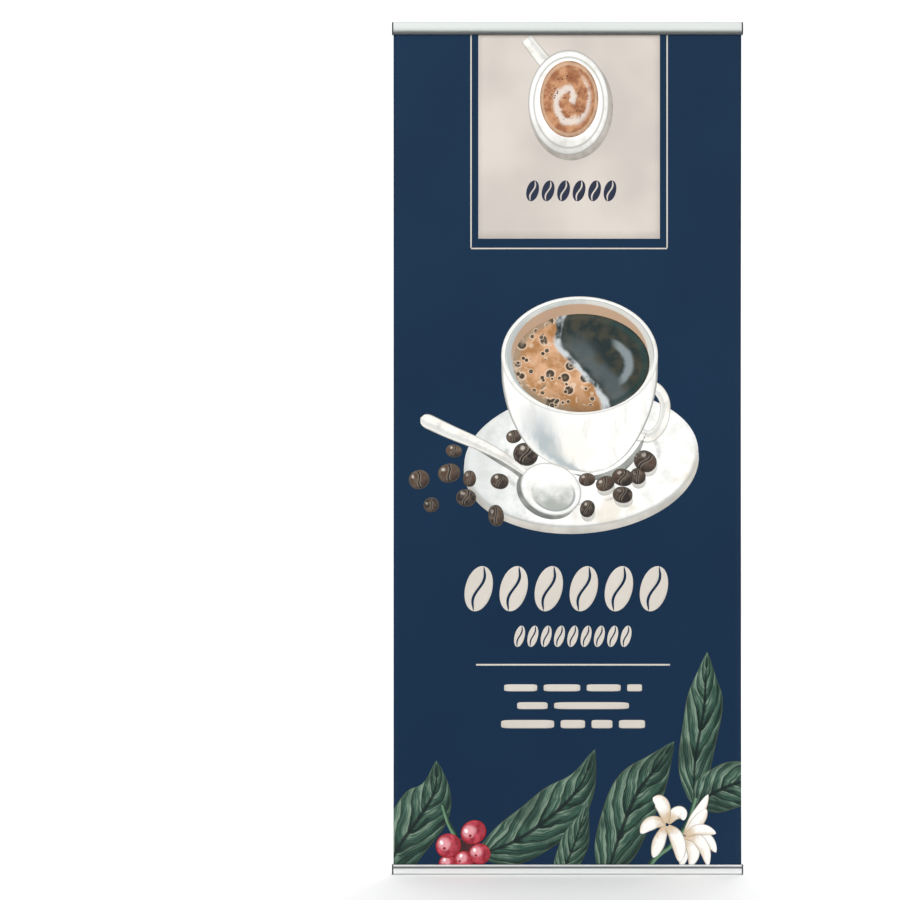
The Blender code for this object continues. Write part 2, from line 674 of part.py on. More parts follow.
def make_foot_arm():
    """The arm is lofted through its cross sections and joined to a flat tongue that turns on the bolt."""
    end = FOOT_REACH + FOOT_HEEL
    reaches = steps_between(ARM_START, end - HEEL_ROUND, 14)
    reaches += [end - HEEL_ROUND * (1 - math.sin(math.radians(a))) for a in (15, 30, 42, 54, 65, 75, 84)]
    bm = bmesh.new()
    rings = [arm_ring(bm, reach) for reach in reaches]
    for near, far in zip(rings, rings[1:]):
        for i, corner in enumerate(near):
            bm.faces.new((corner, far[i], far[i - 1], near[i - 1]))
    bm.faces.new(rings[0])
    bm.faces.new(rings[-1][::-1])
    bmesh.ops.recalc_face_normals(bm, faces=bm.faces)
    arm = place_mesh("foot_arm", mesh_from(bm, "foot_arm"), "blue_grey_foot")
    root = ARM_START + TONGUE_OVERLAP
    tongue = arc((0, PIVOT_Y), TONGUE_RADIUS, 180, 360, 18)
    tongue += [(TONGUE_RADIUS * 0.8, PIVOT_Y + root), (-TONGUE_RADIUS * 0.8, PIVOT_Y + root)]
    add(arm, extrusion("tongue", tongue, TONGUE_THICKNESS, upright(TONGUE_BOTTOM, TONGUE_TOP)))
    bush = BOLT_RADIUS + BUSH_WALL + 2 * FIT_GAP
    post = POST_RADIUS + FIT_GAP
    under_head = PAD_THICKNESS + FIT_GAP + POST_SCREW_HEAD_HEIGHT + 2 * FIT_GAP
    cut(
        arm,
        rod("bush_hole", bush, (0, PIVOT_Y, 0), (0, PIVOT_Y, FOOT_TOP)),
        rod("post_hole", post, (0, POST_Y, POST_BOTTOM - FIT_GAP), (0, POST_Y, 2 * FOOT_TOP)),
        rod("screw_hole", POST_SCREW_RADIUS + FIT_GAP, (0, POST_Y, 0), (0, POST_Y, FOOT_TOP)),
        rod("head_hole", POST_SCREW_HEAD + FIT_GAP, (0, POST_Y, -FOOT_SOLE), (0, POST_Y, under_head)),
        rod("pad_hole", PAD_RADIUS + FIT_GAP, (0, POST_Y, -FOOT_TOP), (0, POST_Y, PAD_THICKNESS + FIT_GAP)),
    )


def make_post():
    """The upright stub at the rear of the arm, the screw that holds it from below and the pad under it."""
    bore = POST_SCREW_RADIUS + FIT_GAP
    flange = POLE_RADIUS
    profile = [(0, SPIGOT_TOP), (POST_SPIGOT_RADIUS * 0.7, SPIGOT_TOP)]
    profile += [(POST_SPIGOT_RADIUS, SPIGOT_TOP - POST_SPIGOT_RADIUS / 2), (POST_SPIGOT_RADIUS, POST_TOP)]
    profile += [(flange, POST_TOP), (flange, POST_TOP - POST_FLANGE), (POST_RADIUS, POST_TOP - POST_FLANGE)]
    profile += [(POST_RADIUS, POST_BOTTOM), (bore, POST_BOTTOM)]
    profile += [(bore, POST_BOTTOM + POST_SCREW_GRIP + FIT_GAP), (0, POST_BOTTOM + POST_SCREW_GRIP + 0.002)]
    turned("foot_post", profile, (0, POST_Y, 0), "post_steel")
    low = PAD_THICKNESS + 2 * FIT_GAP
    high = low + POST_SCREW_HEAD_HEIGHT
    tip = POST_BOTTOM + POST_SCREW_GRIP
    profile = [(0, tip), (POST_SCREW_RADIUS, tip), (POST_SCREW_RADIUS, high)]
    profile += [(POST_SCREW_HEAD, high), (POST_SCREW_HEAD, low), (0, low)]
    turned("foot_post_screw", profile, (0, POST_Y, 0), "steel", 20)
    edge = PAD_THICKNESS / 4
    profile = [(0, PAD_THICKNESS), (PAD_RADIUS, PAD_THICKNESS), (PAD_RADIUS, edge), (PAD_RADIUS - edge, 0), (0, 0)]
    turned("foot_end_pad", profile, (0, POST_Y, 0), "rubber")


# Pole


def eased_rise(z):
    """Height above the post's top, rounded off where the bend starts."""
    rise = z - POST_TOP
    return (rise + math.hypot(rise, BEND_EASE)) / 2


TIP_RISE = eased_rise(TIP_Z)
POLE_BOW = (FOOT_REACH - POLE_LEAN * TIP_RISE) / TIP_RISE**2


def pole_centre(z):
    """The pole's centre line: it leans and bows forward from the post to the axis of the foot's pivot."""
    rise = eased_rise(z)
    return Vector((0, POST_Y - rise * (POLE_LEAN + POLE_BOW * rise), z))


def pole_tangent(z):
    step = 0.001
    return (pole_centre(z + step) - pole_centre(z - step)).normalized()


def round_length(name, radius, low, high, count, resolution, filled):
    """A round bar or an open skin that follows the pole's centre line between two heights."""
    curve = bpy.data.curves.new(name, "CURVE")
    curve.dimensions = "3D"
    curve.twist_mode = "MINIMUM"
    curve.bevel_depth = radius
    curve.bevel_resolution = resolution
    curve.use_fill_caps = filled
    spline = curve.splines.new("POLY")
    spline.points.add(count)
    for point, z in zip(spline.points, steps_between(low, high, count)):
        point.co = (*pole_centre(z), 1)
    drawn = bpy.data.objects.new(name + "_line", curve)
    CUTTERS.objects.link(drawn)
    bpy.context.view_layer.update()
    return mesh_of_curve(drawn)


def tube(name, radius, wall, low, high, count, finish):
    mesh = round_length(name, radius, low, high, count, TUBE_RESOLUTION, False)
    piece = place_mesh(name, mesh, finish)
    shell = piece.modifiers.new("wall", "SOLIDIFY")
    shell.thickness = wall
    shell.offset = -1
    return piece


def make_pole():
    """Three tubes that push together over ferrules, with an elastic cord through them."""
    names = ("lower", "middle", "upper")
    joints = steps_between(POLE_BOTTOM, POLE_TOP, POLE_SECTIONS)
    for name, low, high in zip(names, joints, joints[1:]):
        gap = FIT_GAP if high < POLE_TOP else 0
        tube(f"pole_{name}_tube", POLE_RADIUS, POLE_WALL, low, high - gap, 10, "silver_tube")
    for name, joint in zip(names, joints[1:-1]):
        low, high = joint - FERRULE_HALF, joint + FERRULE_HALF
        wall = FERRULE_RADIUS - FERRULE_BORE
        tube(f"pole_{name}_ferrule", FERRULE_RADIUS, wall, low, high, 4, "steel")
    make_cord()
    make_tip()


def make_cord():
    """The elastic cord is knotted under an anchor in the lowest tube and ends in the pole's tip."""
    anchor_top = ANCHOR_BOTTOM + ANCHOR_HEIGHT
    mesh = round_length("pole_cord_anchor", FERRULE_RADIUS, ANCHOR_BOTTOM, anchor_top, 2, TUBE_RESOLUTION, True)
    anchor = place_mesh("pole_cord_anchor", mesh, "black_plastic")
    low, high = pole_centre(ANCHOR_BOTTOM), pole_centre(anchor_top)
    reach = (high - low).normalized() * ANCHOR_HEIGHT
    cut(anchor, rod("anchor_hole", CORD_RADIUS + 2 * FIT_GAP, low - reach, high + reach, segments=12))
    knot_z = ANCHOR_BOTTOM - FIT_GAP - KNOT_RADIUS
    mesh = round_length("pole_shock_cord", CORD_RADIUS, knot_z, cord_end(), 40, 2, True)
    cord = place_mesh("pole_shock_cord", mesh, "elastic_cord")
    add(cord, ball("knot", KNOT_RADIUS, pole_centre(knot_z)))


def cord_end():
    return POLE_TOP - TIP_PLUG * 0.45


def make_tip():
    """A plug in the top tube that ends in a ball, an upright neck and a head over the fork."""
    ball_centre = pole_centre(TIP_Z)
    tube_end = pole_centre(POLE_TOP)
    along = (ball_centre - tube_end).normalized()
    shoulder = tube_end + along * FIT_GAP
    plug_end = pole_centre(POLE_TOP - TIP_PLUG)
    tip = ball("pole_tip", BALL_RADIUS, ball_centre, "black_plastic")
    neck_top = (0, PIVOT_Y, FORK_TOP + 2 * FIT_GAP + HEAD_HEIGHT / 2)
    head_low = (0, PIVOT_Y, FORK_TOP + FIT_GAP)
    head_high = (0, PIVOT_Y, FORK_TOP + FIT_GAP + HEAD_HEIGHT)
    add(
        tip,
        rod("tip_shoulder", POLE_RADIUS * 0.96, shoulder, shoulder + along * 0.003),
        rod("tip_plug", FERRULE_RADIUS, plug_end, shoulder + along * 0.002),
        rod("tip_neck", NECK_RADIUS, ball_centre, neck_top),
        rod("tip_head", HEAD_RADIUS, head_low, head_high),
    )
    tangent = pole_tangent(POLE_TOP - TIP_PLUG)
    bore_end = pole_centre(cord_end()) + tangent * 2 * FIT_GAP
    cut(tip, rod("tip_bore", CORD_RADIUS + 2 * FIT_GAP, plug_end - tangent * 0.004, bore_end, segments=12))


def make_fork(rail):
    """A slotted plate behind the top rail. The slot opens sideways, so that the pole's neck can swing out."""
    low_z = FORK_TOP - FORK_PLATE_HEIGHT / 2
    high_z = FORK_TOP + FORK_PLATE_HEIGHT / 2
    low_z = max(low_z, TOP_RAIL_BOTTOM)
    high_z = min(high_z, TOP_KNUCKLE[1] - SOCKET_OUTER)
    low = (-FORK_PLATE_HALF, PLATE_FRONT_Y, low_z)
    high = (FORK_PLATE_HALF, PLATE_BACK_Y, high_z)
    fork = block("pole_fork", low, high, "anodised_aluminium")
    add(fork, ear("fork_ear", FORK_RADIUS, FORK_RADIUS, FORK_BOTTOM, FORK_TOP))
    width = NECK_RADIUS + SLOT_PLAY
    below, above = FORK_BOTTOM - FORK_THICKNESS, FORK_TOP + FORK_THICKNESS
    slot_end = arc((0, PIVOT_Y), width, 90, 270, 12)
    slot = slot_end + [(2 * FORK_RADIUS, PIVOT_Y - width), (2 * FORK_RADIUS, PIVOT_Y + width)]
    cut(fork, extrusion("fork_slot", slot, above - below, upright(below, above)))
    sides = (-FORK_SCREW_X, FORK_SCREW_X)
    row = ((low_z + high_z) / 2,)
    holes = screw_holes("fork_hole", sides, row)
    cut(fork, *holes)
    cut(rail, *holes)
    small_screws("pole_fork_screw", sides, row)


make_film()
make_foot_bracket(make_bottom_rail())
make_fork(make_top_rail())
make_pivot()
make_foot_arm()
make_post()
make_pole()
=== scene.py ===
# %% [markdown]
# # A banner stand, finished piece by piece
#
# The stand is two aluminium rails that pinch a printed film, a foot arm that swings out behind the lower
# rail, and a bowed pole that stands on the arm and hooks under the upper rail. Its working parts come
# ready made from the frame. Here they get their finishes, and the film gets its print.

# %% Load the working model
import json
import math

import bmesh
import bpy
from mathutils import Matrix, Vector


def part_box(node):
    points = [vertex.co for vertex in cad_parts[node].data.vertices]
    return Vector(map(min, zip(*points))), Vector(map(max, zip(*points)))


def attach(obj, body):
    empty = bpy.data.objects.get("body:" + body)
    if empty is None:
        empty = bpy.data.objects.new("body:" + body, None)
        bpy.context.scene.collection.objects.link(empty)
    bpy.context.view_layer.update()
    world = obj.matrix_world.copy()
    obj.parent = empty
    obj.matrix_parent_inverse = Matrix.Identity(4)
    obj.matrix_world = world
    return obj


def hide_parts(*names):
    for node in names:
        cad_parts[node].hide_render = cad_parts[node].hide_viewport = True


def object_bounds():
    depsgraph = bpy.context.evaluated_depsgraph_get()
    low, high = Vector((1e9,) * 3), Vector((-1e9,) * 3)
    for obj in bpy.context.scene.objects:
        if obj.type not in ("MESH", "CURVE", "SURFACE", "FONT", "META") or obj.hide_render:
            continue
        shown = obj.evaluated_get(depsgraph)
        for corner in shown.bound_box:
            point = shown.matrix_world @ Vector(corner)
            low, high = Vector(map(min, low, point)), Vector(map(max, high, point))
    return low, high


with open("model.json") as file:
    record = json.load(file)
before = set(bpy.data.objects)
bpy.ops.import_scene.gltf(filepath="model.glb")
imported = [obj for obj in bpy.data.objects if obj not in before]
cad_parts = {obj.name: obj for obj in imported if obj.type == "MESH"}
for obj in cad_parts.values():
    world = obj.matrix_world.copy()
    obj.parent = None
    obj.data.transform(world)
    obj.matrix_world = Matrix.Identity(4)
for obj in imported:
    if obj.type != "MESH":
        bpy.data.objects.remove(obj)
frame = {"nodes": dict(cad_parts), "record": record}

cad_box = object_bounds()
nodes = frame["nodes"]
scene = bpy.context.scene
MM = 0.001
print(len(nodes), "nodes, box", [[round(c, 4) for c in corner] for corner in cad_box])

# %% [markdown]
# Where things are is read from the frame, so that the finish follows the model. The film is printed
# between the two rails, on the side that faces -Y.

# %% Places read from the frame
film_low, film_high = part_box("banner_film")
HALF_WIDTH = film_high.x
FILM_THICK = film_high.y - film_low.y
SHOWN_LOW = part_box("bottom_rail_jaw")[1].z
SHOWN_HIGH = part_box("top_rail_jaw")[0].z
FLOOR = cad_box[0][2]
TOP = cad_box[1][2]
print(f"film {2 * HALF_WIDTH:.3f} m wide, {SHOWN_HIGH - SHOWN_LOW:.3f} m of it shows")

# %% [markdown]
# ## The camera
#
# The camera stands square to the film, at half its height, so that the print shows no perspective.

# %% The camera, square to the film
CAMERA_FROM_CENTRE = 0.27
CAMERA_HEIGHT = 0.976
CAMERA_DISTANCE = 4.0
VIEW_WIDTH = 2.07  # metres across the picture at the film

camera_data = bpy.data.cameras.new("camera")
camera_data.sensor_width = 36
camera_data.lens = camera_data.sensor_width * CAMERA_DISTANCE / VIEW_WIDTH
camera = bpy.data.objects.new("camera", camera_data)
camera.location = (-CAMERA_FROM_CENTRE, -CAMERA_DISTANCE, CAMERA_HEIGHT)
camera.rotation_euler = (math.radians(90), 0, 0)
scene.collection.objects.link(camera)
scene.camera = camera
scene.view_settings.view_transform = "Standard"
print(f"lens {camera_data.lens:.1f} mm")

# %% [markdown]
# ## Writing shader maths as Python
#
# A material is a web of small nodes. Two short classes let it be written as sums: `Wire` is one output of
# a node, and adding or multiplying wires adds Math nodes. `Recipe` holds a material and makes its nodes.

# %% Wires and recipes
class Wire:
    """One socket of a material's node tree. Arithmetic on it adds Math nodes."""

    def __init__(self, recipe, socket):
        self.recipe = recipe
        self.socket = socket

    def math(self, operation, *values):
        return self.recipe.node("ShaderNodeMath", {"operation": operation}, values)

    def __add__(self, other):
        return self.math("ADD", self, other)

    def __sub__(self, other):
        return self.math("SUBTRACT", self, other)

    def __rsub__(self, other):
        return self.math("SUBTRACT", other, self)

    def __mul__(self, other):
        return self.math("MULTIPLY", self, other)

    def __pow__(self, other):
        return self.math("POWER", self, other)

    __radd__ = __add__
    __rmul__ = __mul__

    def size(self):
        return self.math("ABSOLUTE", self)

    def part(self):
        return self.math("FRACT", self)

    def sine(self):
        return self.math("SINE", self)

    def most(self, other):
        return self.math("MAXIMUM", self, other)

    def glaze(self, share, *colour):
        """This colour with a share of another laid over it, as a watercolour glaze is."""
        return self.recipe.mix(share, self, tint(*colour))

    def step(self, start, end):
        """0 up to start, 1 from end on, and smooth between them."""
        settings = {"interpolation_type": "SMOOTHSTEP"}
        low, high, flip = (start, end, False) if start < end else (end, start, True)
        made = self.recipe.node("ShaderNodeMapRange", settings, [self, low, high])
        return 1 - made if flip else made


class Recipe:
    """A material: its fixed values are set on the shader, and the rest is written with wires."""

    def __init__(self, name, **fixed):
        self.material = bpy.data.materials.new(name)
        self.material.use_nodes = True
        self.tree = self.material.node_tree
        self.shader = self.tree.nodes["Principled BSDF"]
        for socket, value in fixed.items():
            self.shader.inputs[socket.replace("_", " ")].default_value = value

    def node(self, kind, settings=None, values=(), output=0):
        made = self.tree.nodes.new(kind)
        for key, value in (settings or {}).items():
            setattr(made, key, value)
        pairs = values.items() if isinstance(values, dict) else enumerate(values)
        for socket, value in pairs:
            if isinstance(value, Wire):
                self.tree.links.new(value.socket, made.inputs[socket])
            else:
                made.inputs[socket].default_value = value
        return Wire(self, made.outputs[output])

    def place(self):
        """The point's position on the whole stand, in metres."""
        return self.node("ShaderNodeTexCoord", output=3)

    def split(self, vector):
        made = self.tree.nodes.new("ShaderNodeSeparateXYZ")
        self.tree.links.new(vector.socket, made.inputs[0])
        return [Wire(self, socket) for socket in made.outputs]

    def across(self):
        """The piece's own two directions, each from 0 to 1."""
        return self.split(self.node("ShaderNodeUVMap", {"uv_map": "print"}))[:2]

    def vector(self, *parts):
        return self.node("ShaderNodeCombineXYZ", values=parts)

    def stretched(self, vector, x, y, z):
        return self.node("ShaderNodeMapping", values={"Vector": vector, "Scale": (x, y, z)})

    def noise(self, vector, scale, detail=3.0, rough=0.5):
        values = {"Vector": vector, "Scale": scale, "Detail": detail, "Roughness": rough}
        return self.node("ShaderNodeTexNoise", values=values)

    def cells(self, vector, scale):
        return self.node("ShaderNodeTexVoronoi", values={"Vector": vector, "Scale": scale})

    def mix(self, share, first, second):
        """A colour between two colours."""
        first, second = (c if isinstance(c, Wire) else (*c, 1.0) for c in (first, second))
        return self.node("ShaderNodeMix", {"data_type": "RGBA"}, {0: share, 6: first, 7: second}, 2)

    def feed(self, **links):
        for socket, wire in links.items():
            self.tree.links.new(wire.socket, self.shader.inputs[socket.replace("_", " ")])

    def coloured(self, wire):
        self.feed(Base_Color=wire)
        return self

    def bump(self, height, strength, distance):
        values = {"Strength": strength, "Distance": distance, "Height": height}
        self.feed(Normal=self.node("ShaderNodeBump", values=values))


def tint(red, green, blue):
    """An ordinary screen colour, 0 to 255, as the linear colour that a shader works in."""
    shares = [c / 255 for c in (red, green, blue)]
    return tuple(c / 12.92 if c <= 0.04045 else ((c + 0.055) / 1.055) ** 2.4 for c in shares)


def blend(share, first, second):
    """A mix of two ordinary screen colours."""
    return share.recipe.mix(share, tint(*first), tint(*second))


print("shader maths ready")

# %% [markdown]
# ## The room
#
# The stand is shown on a wide white floor under a white sky, so that it can be walked round. A round rail
# shows what lies around it, and with nothing dark nearby it would look flat. So a dark card lies on the
# floor in front, and another stands behind it. They are set to be seen only in reflections. The upper
# rail mirrors them in its lower half, and the rail on the floor hardly does.

# %% Floor, sky, card and lamps
FLOOR_RADIUS = 16.0
STANDING_CARD = 1.25  # its height
SKY_STRENGTH = 1.12


def finished(name, bm, *recipes):
    """Makes a piece of what was drawn, with its materials."""
    mesh = bpy.data.meshes.new(name)
    bm.to_mesh(mesh)
    bm.free()
    if mesh.uv_layers:
        mesh.uv_layers[0].name = "print"
    mesh.shade_smooth()
    for recipe in recipes:
        mesh.materials.append(recipe.material)
    piece = bpy.data.objects.new(name, mesh)
    scene.collection.objects.link(piece)
    return piece


def dark_card(name, width, height, place, lean):
    """A dark board that only reflections can see. lean turns it up from the floor."""
    bm = bmesh.new()
    bmesh.ops.create_grid(bm, x_segments=1, y_segments=1, size=0.5)
    bmesh.ops.scale(bm, verts=bm.verts, vec=(width, height, 1.0))
    bmesh.ops.rotate(bm, verts=bm.verts, matrix=Matrix.Rotation(lean, 3, "X"))
    bmesh.ops.translate(bm, verts=bm.verts, vec=place)
    card = finished(name, bm, Recipe(name, Base_Color=(0.03, 0.03, 0.034, 1), Roughness=0.9))
    for ray in ("camera", "diffuse", "shadow", "transmission"):
        setattr(card, f"visible_{ray}", False)


def lamp(name, place, aim, width, height, power):
    data = bpy.data.lights.new(name, "AREA")
    data.shape = "RECTANGLE"
    data.size = width
    data.size_y = height
    data.energy = power
    made = bpy.data.objects.new(name, data)
    made.location = place
    made.rotation_euler = (Vector(aim) - Vector(place)).to_track_quat("-Z", "Y").to_euler()
    scene.collection.objects.link(made)


disc_of_paper = bmesh.new()
bmesh.ops.create_circle(disc_of_paper, cap_ends=True, segments=96, radius=FLOOR_RADIUS)
bmesh.ops.translate(disc_of_paper, verts=disc_of_paper.verts, vec=(0, 0, FLOOR))
paper = Recipe("studio_paper", Base_Color=(0.94, 0.94, 0.94, 1), Roughness=0.9)
finished("studio_floor", disc_of_paper, paper)
dark_card("floor_card", 8.0, 5.0, (0, -3.2, FLOOR + 0.004), 0)
dark_card("standing_card", 9.0, STANDING_CARD, (0, -5.7, FLOOR + STANDING_CARD / 2), math.radians(90))
scene.world = bpy.data.worlds.new("studio")
scene.world.use_nodes = True
sky = scene.world.node_tree.nodes["Background"]
sky.inputs["Color"].default_value = (1.0, 1.0, 1.0, 1.0)
sky.inputs["Strength"].default_value = SKY_STRENGTH
lamp("key", (-2.4, -3.0, 4.2), (0, 0, 0.9), 2.0, 2.0, 25)
lamp("back", (1.8, 3.2, 4.0), (0, 0, 0.6), 2.4, 2.0, 30)
print("studio ready")

# %% [markdown]
# ## The film
#
# The print is made on a stiff plastic film. It hangs flat, but its free side edges curl back a few
# millimetres between the rails, and a slow wave runs through it. One function says how far back the film
# stands at any point. The film and every layer of ink use it, so they keep together.

# %% How the film stands
EDGE_CURL = 5.0 * MM
SLOW_WAVE = 0.9 * MM


def film_back(x, z):
    """How far behind its plane the film stands. It is flat where the rails hold it."""
    share = (z - SHOWN_LOW) / (SHOWN_HIGH - SHOWN_LOW)
    if not 0 < share < 1:
        return 0.0
    free = math.sin(math.pi * share)
    side = abs(x) / HALF_WIDTH
    curl = EDGE_CURL * free * side**5
    wave = SLOW_WAVE * free**2 * math.sin(7.0 * share + 3.2 * x / HALF_WIDTH)
    return curl + wave


print(f"edge curl at mid height {film_back(HALF_WIDTH, 0.98) / MM:.1f} mm")

# %% [markdown]
# Everything flat here is one square grid, moved into shape: `patch` makes the grid, sends each of its
# points somewhere on the film, and keeps where the point was on the grid as its texture coordinates.

# %% Patches of print
INK_STEP = 0.10 * MM  # from one layer of ink to the next
INK_THICK = 0.05 * MM
INK_MARGIN = 0.2 * MM  # the ink stops this far inside the film's edges


def touching(verts, kind):
    """The link_edges or link_faces of some corners, each once and in the same order every time."""
    return list(dict.fromkeys(part for vert in verts for part in getattr(vert, kind)))


def patch(bm, columns, rows, place, layer, shade=None):
    """A grid whose point (u, v) goes to place(u, v). shade(u, v) gives its texture coordinates."""
    made = bmesh.ops.create_grid(bm, x_segments=columns, y_segments=rows, size=0.5)["verts"]
    uv = bm.loops.layers.uv.verify()
    faces = touching(made, "link_faces")
    for face in faces:
        for loop in face.loops:
            u, v = loop.vert.co.x + 0.5, loop.vert.co.y + 0.5
            loop[uv].uv = shade(u, v) if shade else (u, v)
    for vert in made:
        x, z = place(vert.co.x + 0.5, vert.co.y + 0.5)
        vert.co = (x, -layer * INK_STEP, z)
    for face in faces:
        face.normal_update()
    if sum(face.normal.y * face.calc_area() for face in faces) > 0:
        bmesh.ops.reverse_faces(bm, faces=faces)
    bmesh.ops.remove_doubles(bm, verts=made, dist=1e-6)


def lay_on_film(bm):
    for vert in bm.verts:
        vert.co.y += film_back(vert.co.x, vert.co.z) - FILM_THICK / 2


def printed(name, bm, recipe):
    """Trims the patches to what shows of the film, lays them on it and makes a thin solid of them."""
    sides = [(1, 0, HALF_WIDTH), (-1, 0, HALF_WIDTH), (0, 1, SHOWN_HIGH), (0, -1, -SHOWN_LOW)]
    for across, up, reach in sides:
        everything = bm.verts[:] + bm.edges[:] + bm.faces[:]
        normal = Vector((across, 0, up))
        inside = normal * (reach - INK_MARGIN)
        bmesh.ops.bisect_plane(bm, geom=everything, plane_co=inside, plane_no=normal, clear_outer=True)
    lay_on_film(bm)
    piece = finished(name, bm, recipe)
    shell = piece.modifiers.new("ink", "SOLIDIFY")
    shell.thickness = INK_THICK
    shell.offset = -1
    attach(piece, "base")


CREAM = (214, 207, 198)

# %% [markdown]
# Only the face is printed. The back is a grey layer that stops light, so nothing shows through from behind.
# A very fine grain breaks up the shine of both.

# %% The film itself
def film_recipe():
    """The printed side: navy ink with a satin shine."""
    recipe = Recipe("printed_navy", Specular_IOR_Level=0.12)
    where = recipe.place()
    grain = recipe.noise(where, 900.0, 2.0)
    cloud = recipe.noise(where, 2.3, 2.0)
    colour = blend(cloud.step(0.35, 0.70), (15, 43, 69), (18, 46, 73))
    recipe.feed(Base_Color=recipe.mix(grain * 0.2, colour, tint(24, 51, 79)))
    recipe.feed(Roughness=0.38 + grain * 0.10)
    recipe.bump(grain, 0.06, 0.0001)
    return recipe


def film_back_recipe():
    """The unprinted side: a grey layer that keeps light from showing through."""
    recipe = Recipe("film_grey_back", Specular_IOR_Level=0.4)
    where = recipe.place()
    weave = recipe.noise(recipe.stretched(where, 1.0, 1.0, 0.25), 1400.0, 2.0)
    cloud = recipe.noise(where, 3.0, 2.0)
    colour = blend(cloud.step(0.35, 0.65), (199, 202, 204), (203, 205, 207))
    recipe.feed(Base_Color=recipe.mix(weave * 0.4, colour, tint(178, 182, 185)))
    recipe.feed(Roughness=0.42 + weave * 0.16)
    recipe.bump(weave, 0.10, 0.0001)
    return recipe


FILM_COLUMNS = 48
FILM_ROWS = 110


def on_sheet(u, v):
    return -HALF_WIDTH + film_cut[0] * u, film_low.z + film_cut[1] * v


film_cut = (2 * HALF_WIDTH, film_high.z - film_low.z)
sheet = bmesh.new()
patch(sheet, FILM_COLUMNS, FILM_ROWS, on_sheet, 0)
lay_on_film(sheet)
film = finished("banner_film_sheet", sheet, film_recipe(), film_back_recipe())
shell = film.modifiers.new("thickness", "SOLIDIFY")
shell.thickness = FILM_THICK
shell.offset = -1
shell.material_offset = 1
shell.material_offset_rim = 1
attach(film, "base")
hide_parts("banner_film")
print("film", [round(side, 4) for side in film_cut])

# %% [markdown]
# A disc is the same grid wrapped round a point, and a bar is the grid as it is. A flat colour is a little
# uneven, as ink is.

# %% Shapes that the print is built from
def turned(centre, turn, side, rise):
    """The point side and rise away from a centre, turned about it by some degrees."""
    cos_turn, sin_turn = math.cos(math.radians(turn)), math.sin(math.radians(turn))
    return centre[0] + side * cos_turn - rise * sin_turn, centre[1] + side * sin_turn + rise * cos_turn


def disc(bm, centre, half_x, half_z, layer, turn=0.0, power=2.0, columns=40, rows=5):
    """A filled ellipse, or a squarer one for a higher power. Its coordinates lie across it."""

    def local(u, v):
        angle = 2 * math.pi * u
        side, rise = math.cos(angle), math.sin(angle)
        reach = v / (abs(side) ** power + abs(rise) ** power) ** (1 / power)
        return side * reach, rise * reach

    def place(u, v):
        side, rise = local(u, v)
        return turned(centre, turn, side * half_x, rise * half_z)

    def shade(u, v):
        side, rise = local(u, v)
        return 0.5 + side / 2, 0.5 + rise / 2

    patch(bm, columns, rows, place, layer, shade)


def bar(bm, left, right, low, high, layer, columns=None, rows=1):
    columns = columns or max(1, round((right - left) / 0.02))
    patch(bm, columns, rows, lambda u, v: (left + (right - left) * u, low + (high - low) * v), layer)


def flat_ink(name, colour, other, scale=6.0, detail=3.0, start=0.3, rough=0.41):
    """A plain printed colour that drifts a little towards another."""
    recipe = Recipe(name, Roughness=0.45, Specular_IOR_Level=0.45)
    where = recipe.place()
    cloud = recipe.noise(where, scale, detail).step(start, 1.0 - start)
    recipe.feed(Roughness=rough + recipe.noise(where, 900.0, 2.0) * 0.08)
    return recipe.coloured(recipe.mix(cloud, tint(*colour), tint(*other)))


print("shapes ready")

# %% [markdown]
# ## The panel and the lines
#
# A cream panel hangs from the upper rail inside a thin cream frame. Below it stand a row of six large
# coffee beans, a row of small ones, a rule and three rows of plain bars, where a banner has its words.

# %% Panel and lines
PRINT_MIDDLE = 3.9 * MM  # the panel and its frame stand a little to the right
PANEL_HALF = 208.8 * MM
PANEL_LOW = 1462 * MM
FRAME_HALF = 225.5 * MM
FRAME_LOW = 1441 * MM
LINE = 3.2 * MM


panel = bmesh.new()
bar(panel, PRINT_MIDDLE - PANEL_HALF, PRINT_MIDDLE + PANEL_HALF, PANEL_LOW, TOP, 1, 20, 24)
tints = (213, 204, 195), (197, 189, 181)
cream = flat_ink("printed_cream_panel", *tints, 5.0, detail=2.0, start=0.32, rough=0.40)
printed("print_panel", panel, cream)
lines = bmesh.new()
for side in (-1, 1):
    edge = PRINT_MIDDLE + side * FRAME_HALF
    bar(lines, edge - LINE / 2, edge + LINE / 2, FRAME_LOW, TOP, 1, 1, 24)
bar(lines, PRINT_MIDDLE - FRAME_HALF, PRINT_MIDDLE + FRAME_HALF, FRAME_LOW - LINE, FRAME_LOW, 1)
bar(lines, -210 * MM, 236 * MM, 480 * MM, 484 * MM, 1)
printed("print_lines", lines, flat_ink("cream_line_ink", CREAM, (206, 199, 190)))
print("panel and lines printed")

# %% [markdown]
# Each bean in the rows is two halves with an S-shaped slit between them. Bars with rounded ends stand for
# lines of text, so the print says nothing.

# %% Rows of beans and bars in place of words
BEAN_LEAN = -14  # degrees


def bean_mark(bm, centre, half_x, half_z, layer, turn, gap):
    """A bean drawn as two halves with an S-shaped slit between them."""
    for side in (-1, 1):

        def place(u, v, side=side):
            rise = math.cos(math.pi * (1 - v))
            slit = 0.24 * math.sin(math.pi * rise) + side * gap
            rim = side * math.sqrt(max(0.0, 1 - rise**2))
            inner = slit * (1 - abs(rise) ** 6)
            inner = max(inner, rim) if side < 0 else min(inner, rim)
            across = (inner + (rim - inner) * u) * half_x
            return turned(centre, turn, across, rise * half_z)

        patch(bm, 6, 24, place, layer)


def bars_in_row(bm, left, low, high, widths, gap, layer):
    """Bars with rounded ends, one after the other."""
    for width in widths:
        middle = (left + width / 2, (low + high) / 2)
        disc(bm, middle, width / 2, (high - low) / 2, layer, power=7.0, columns=44, rows=3)
        left += width + gap


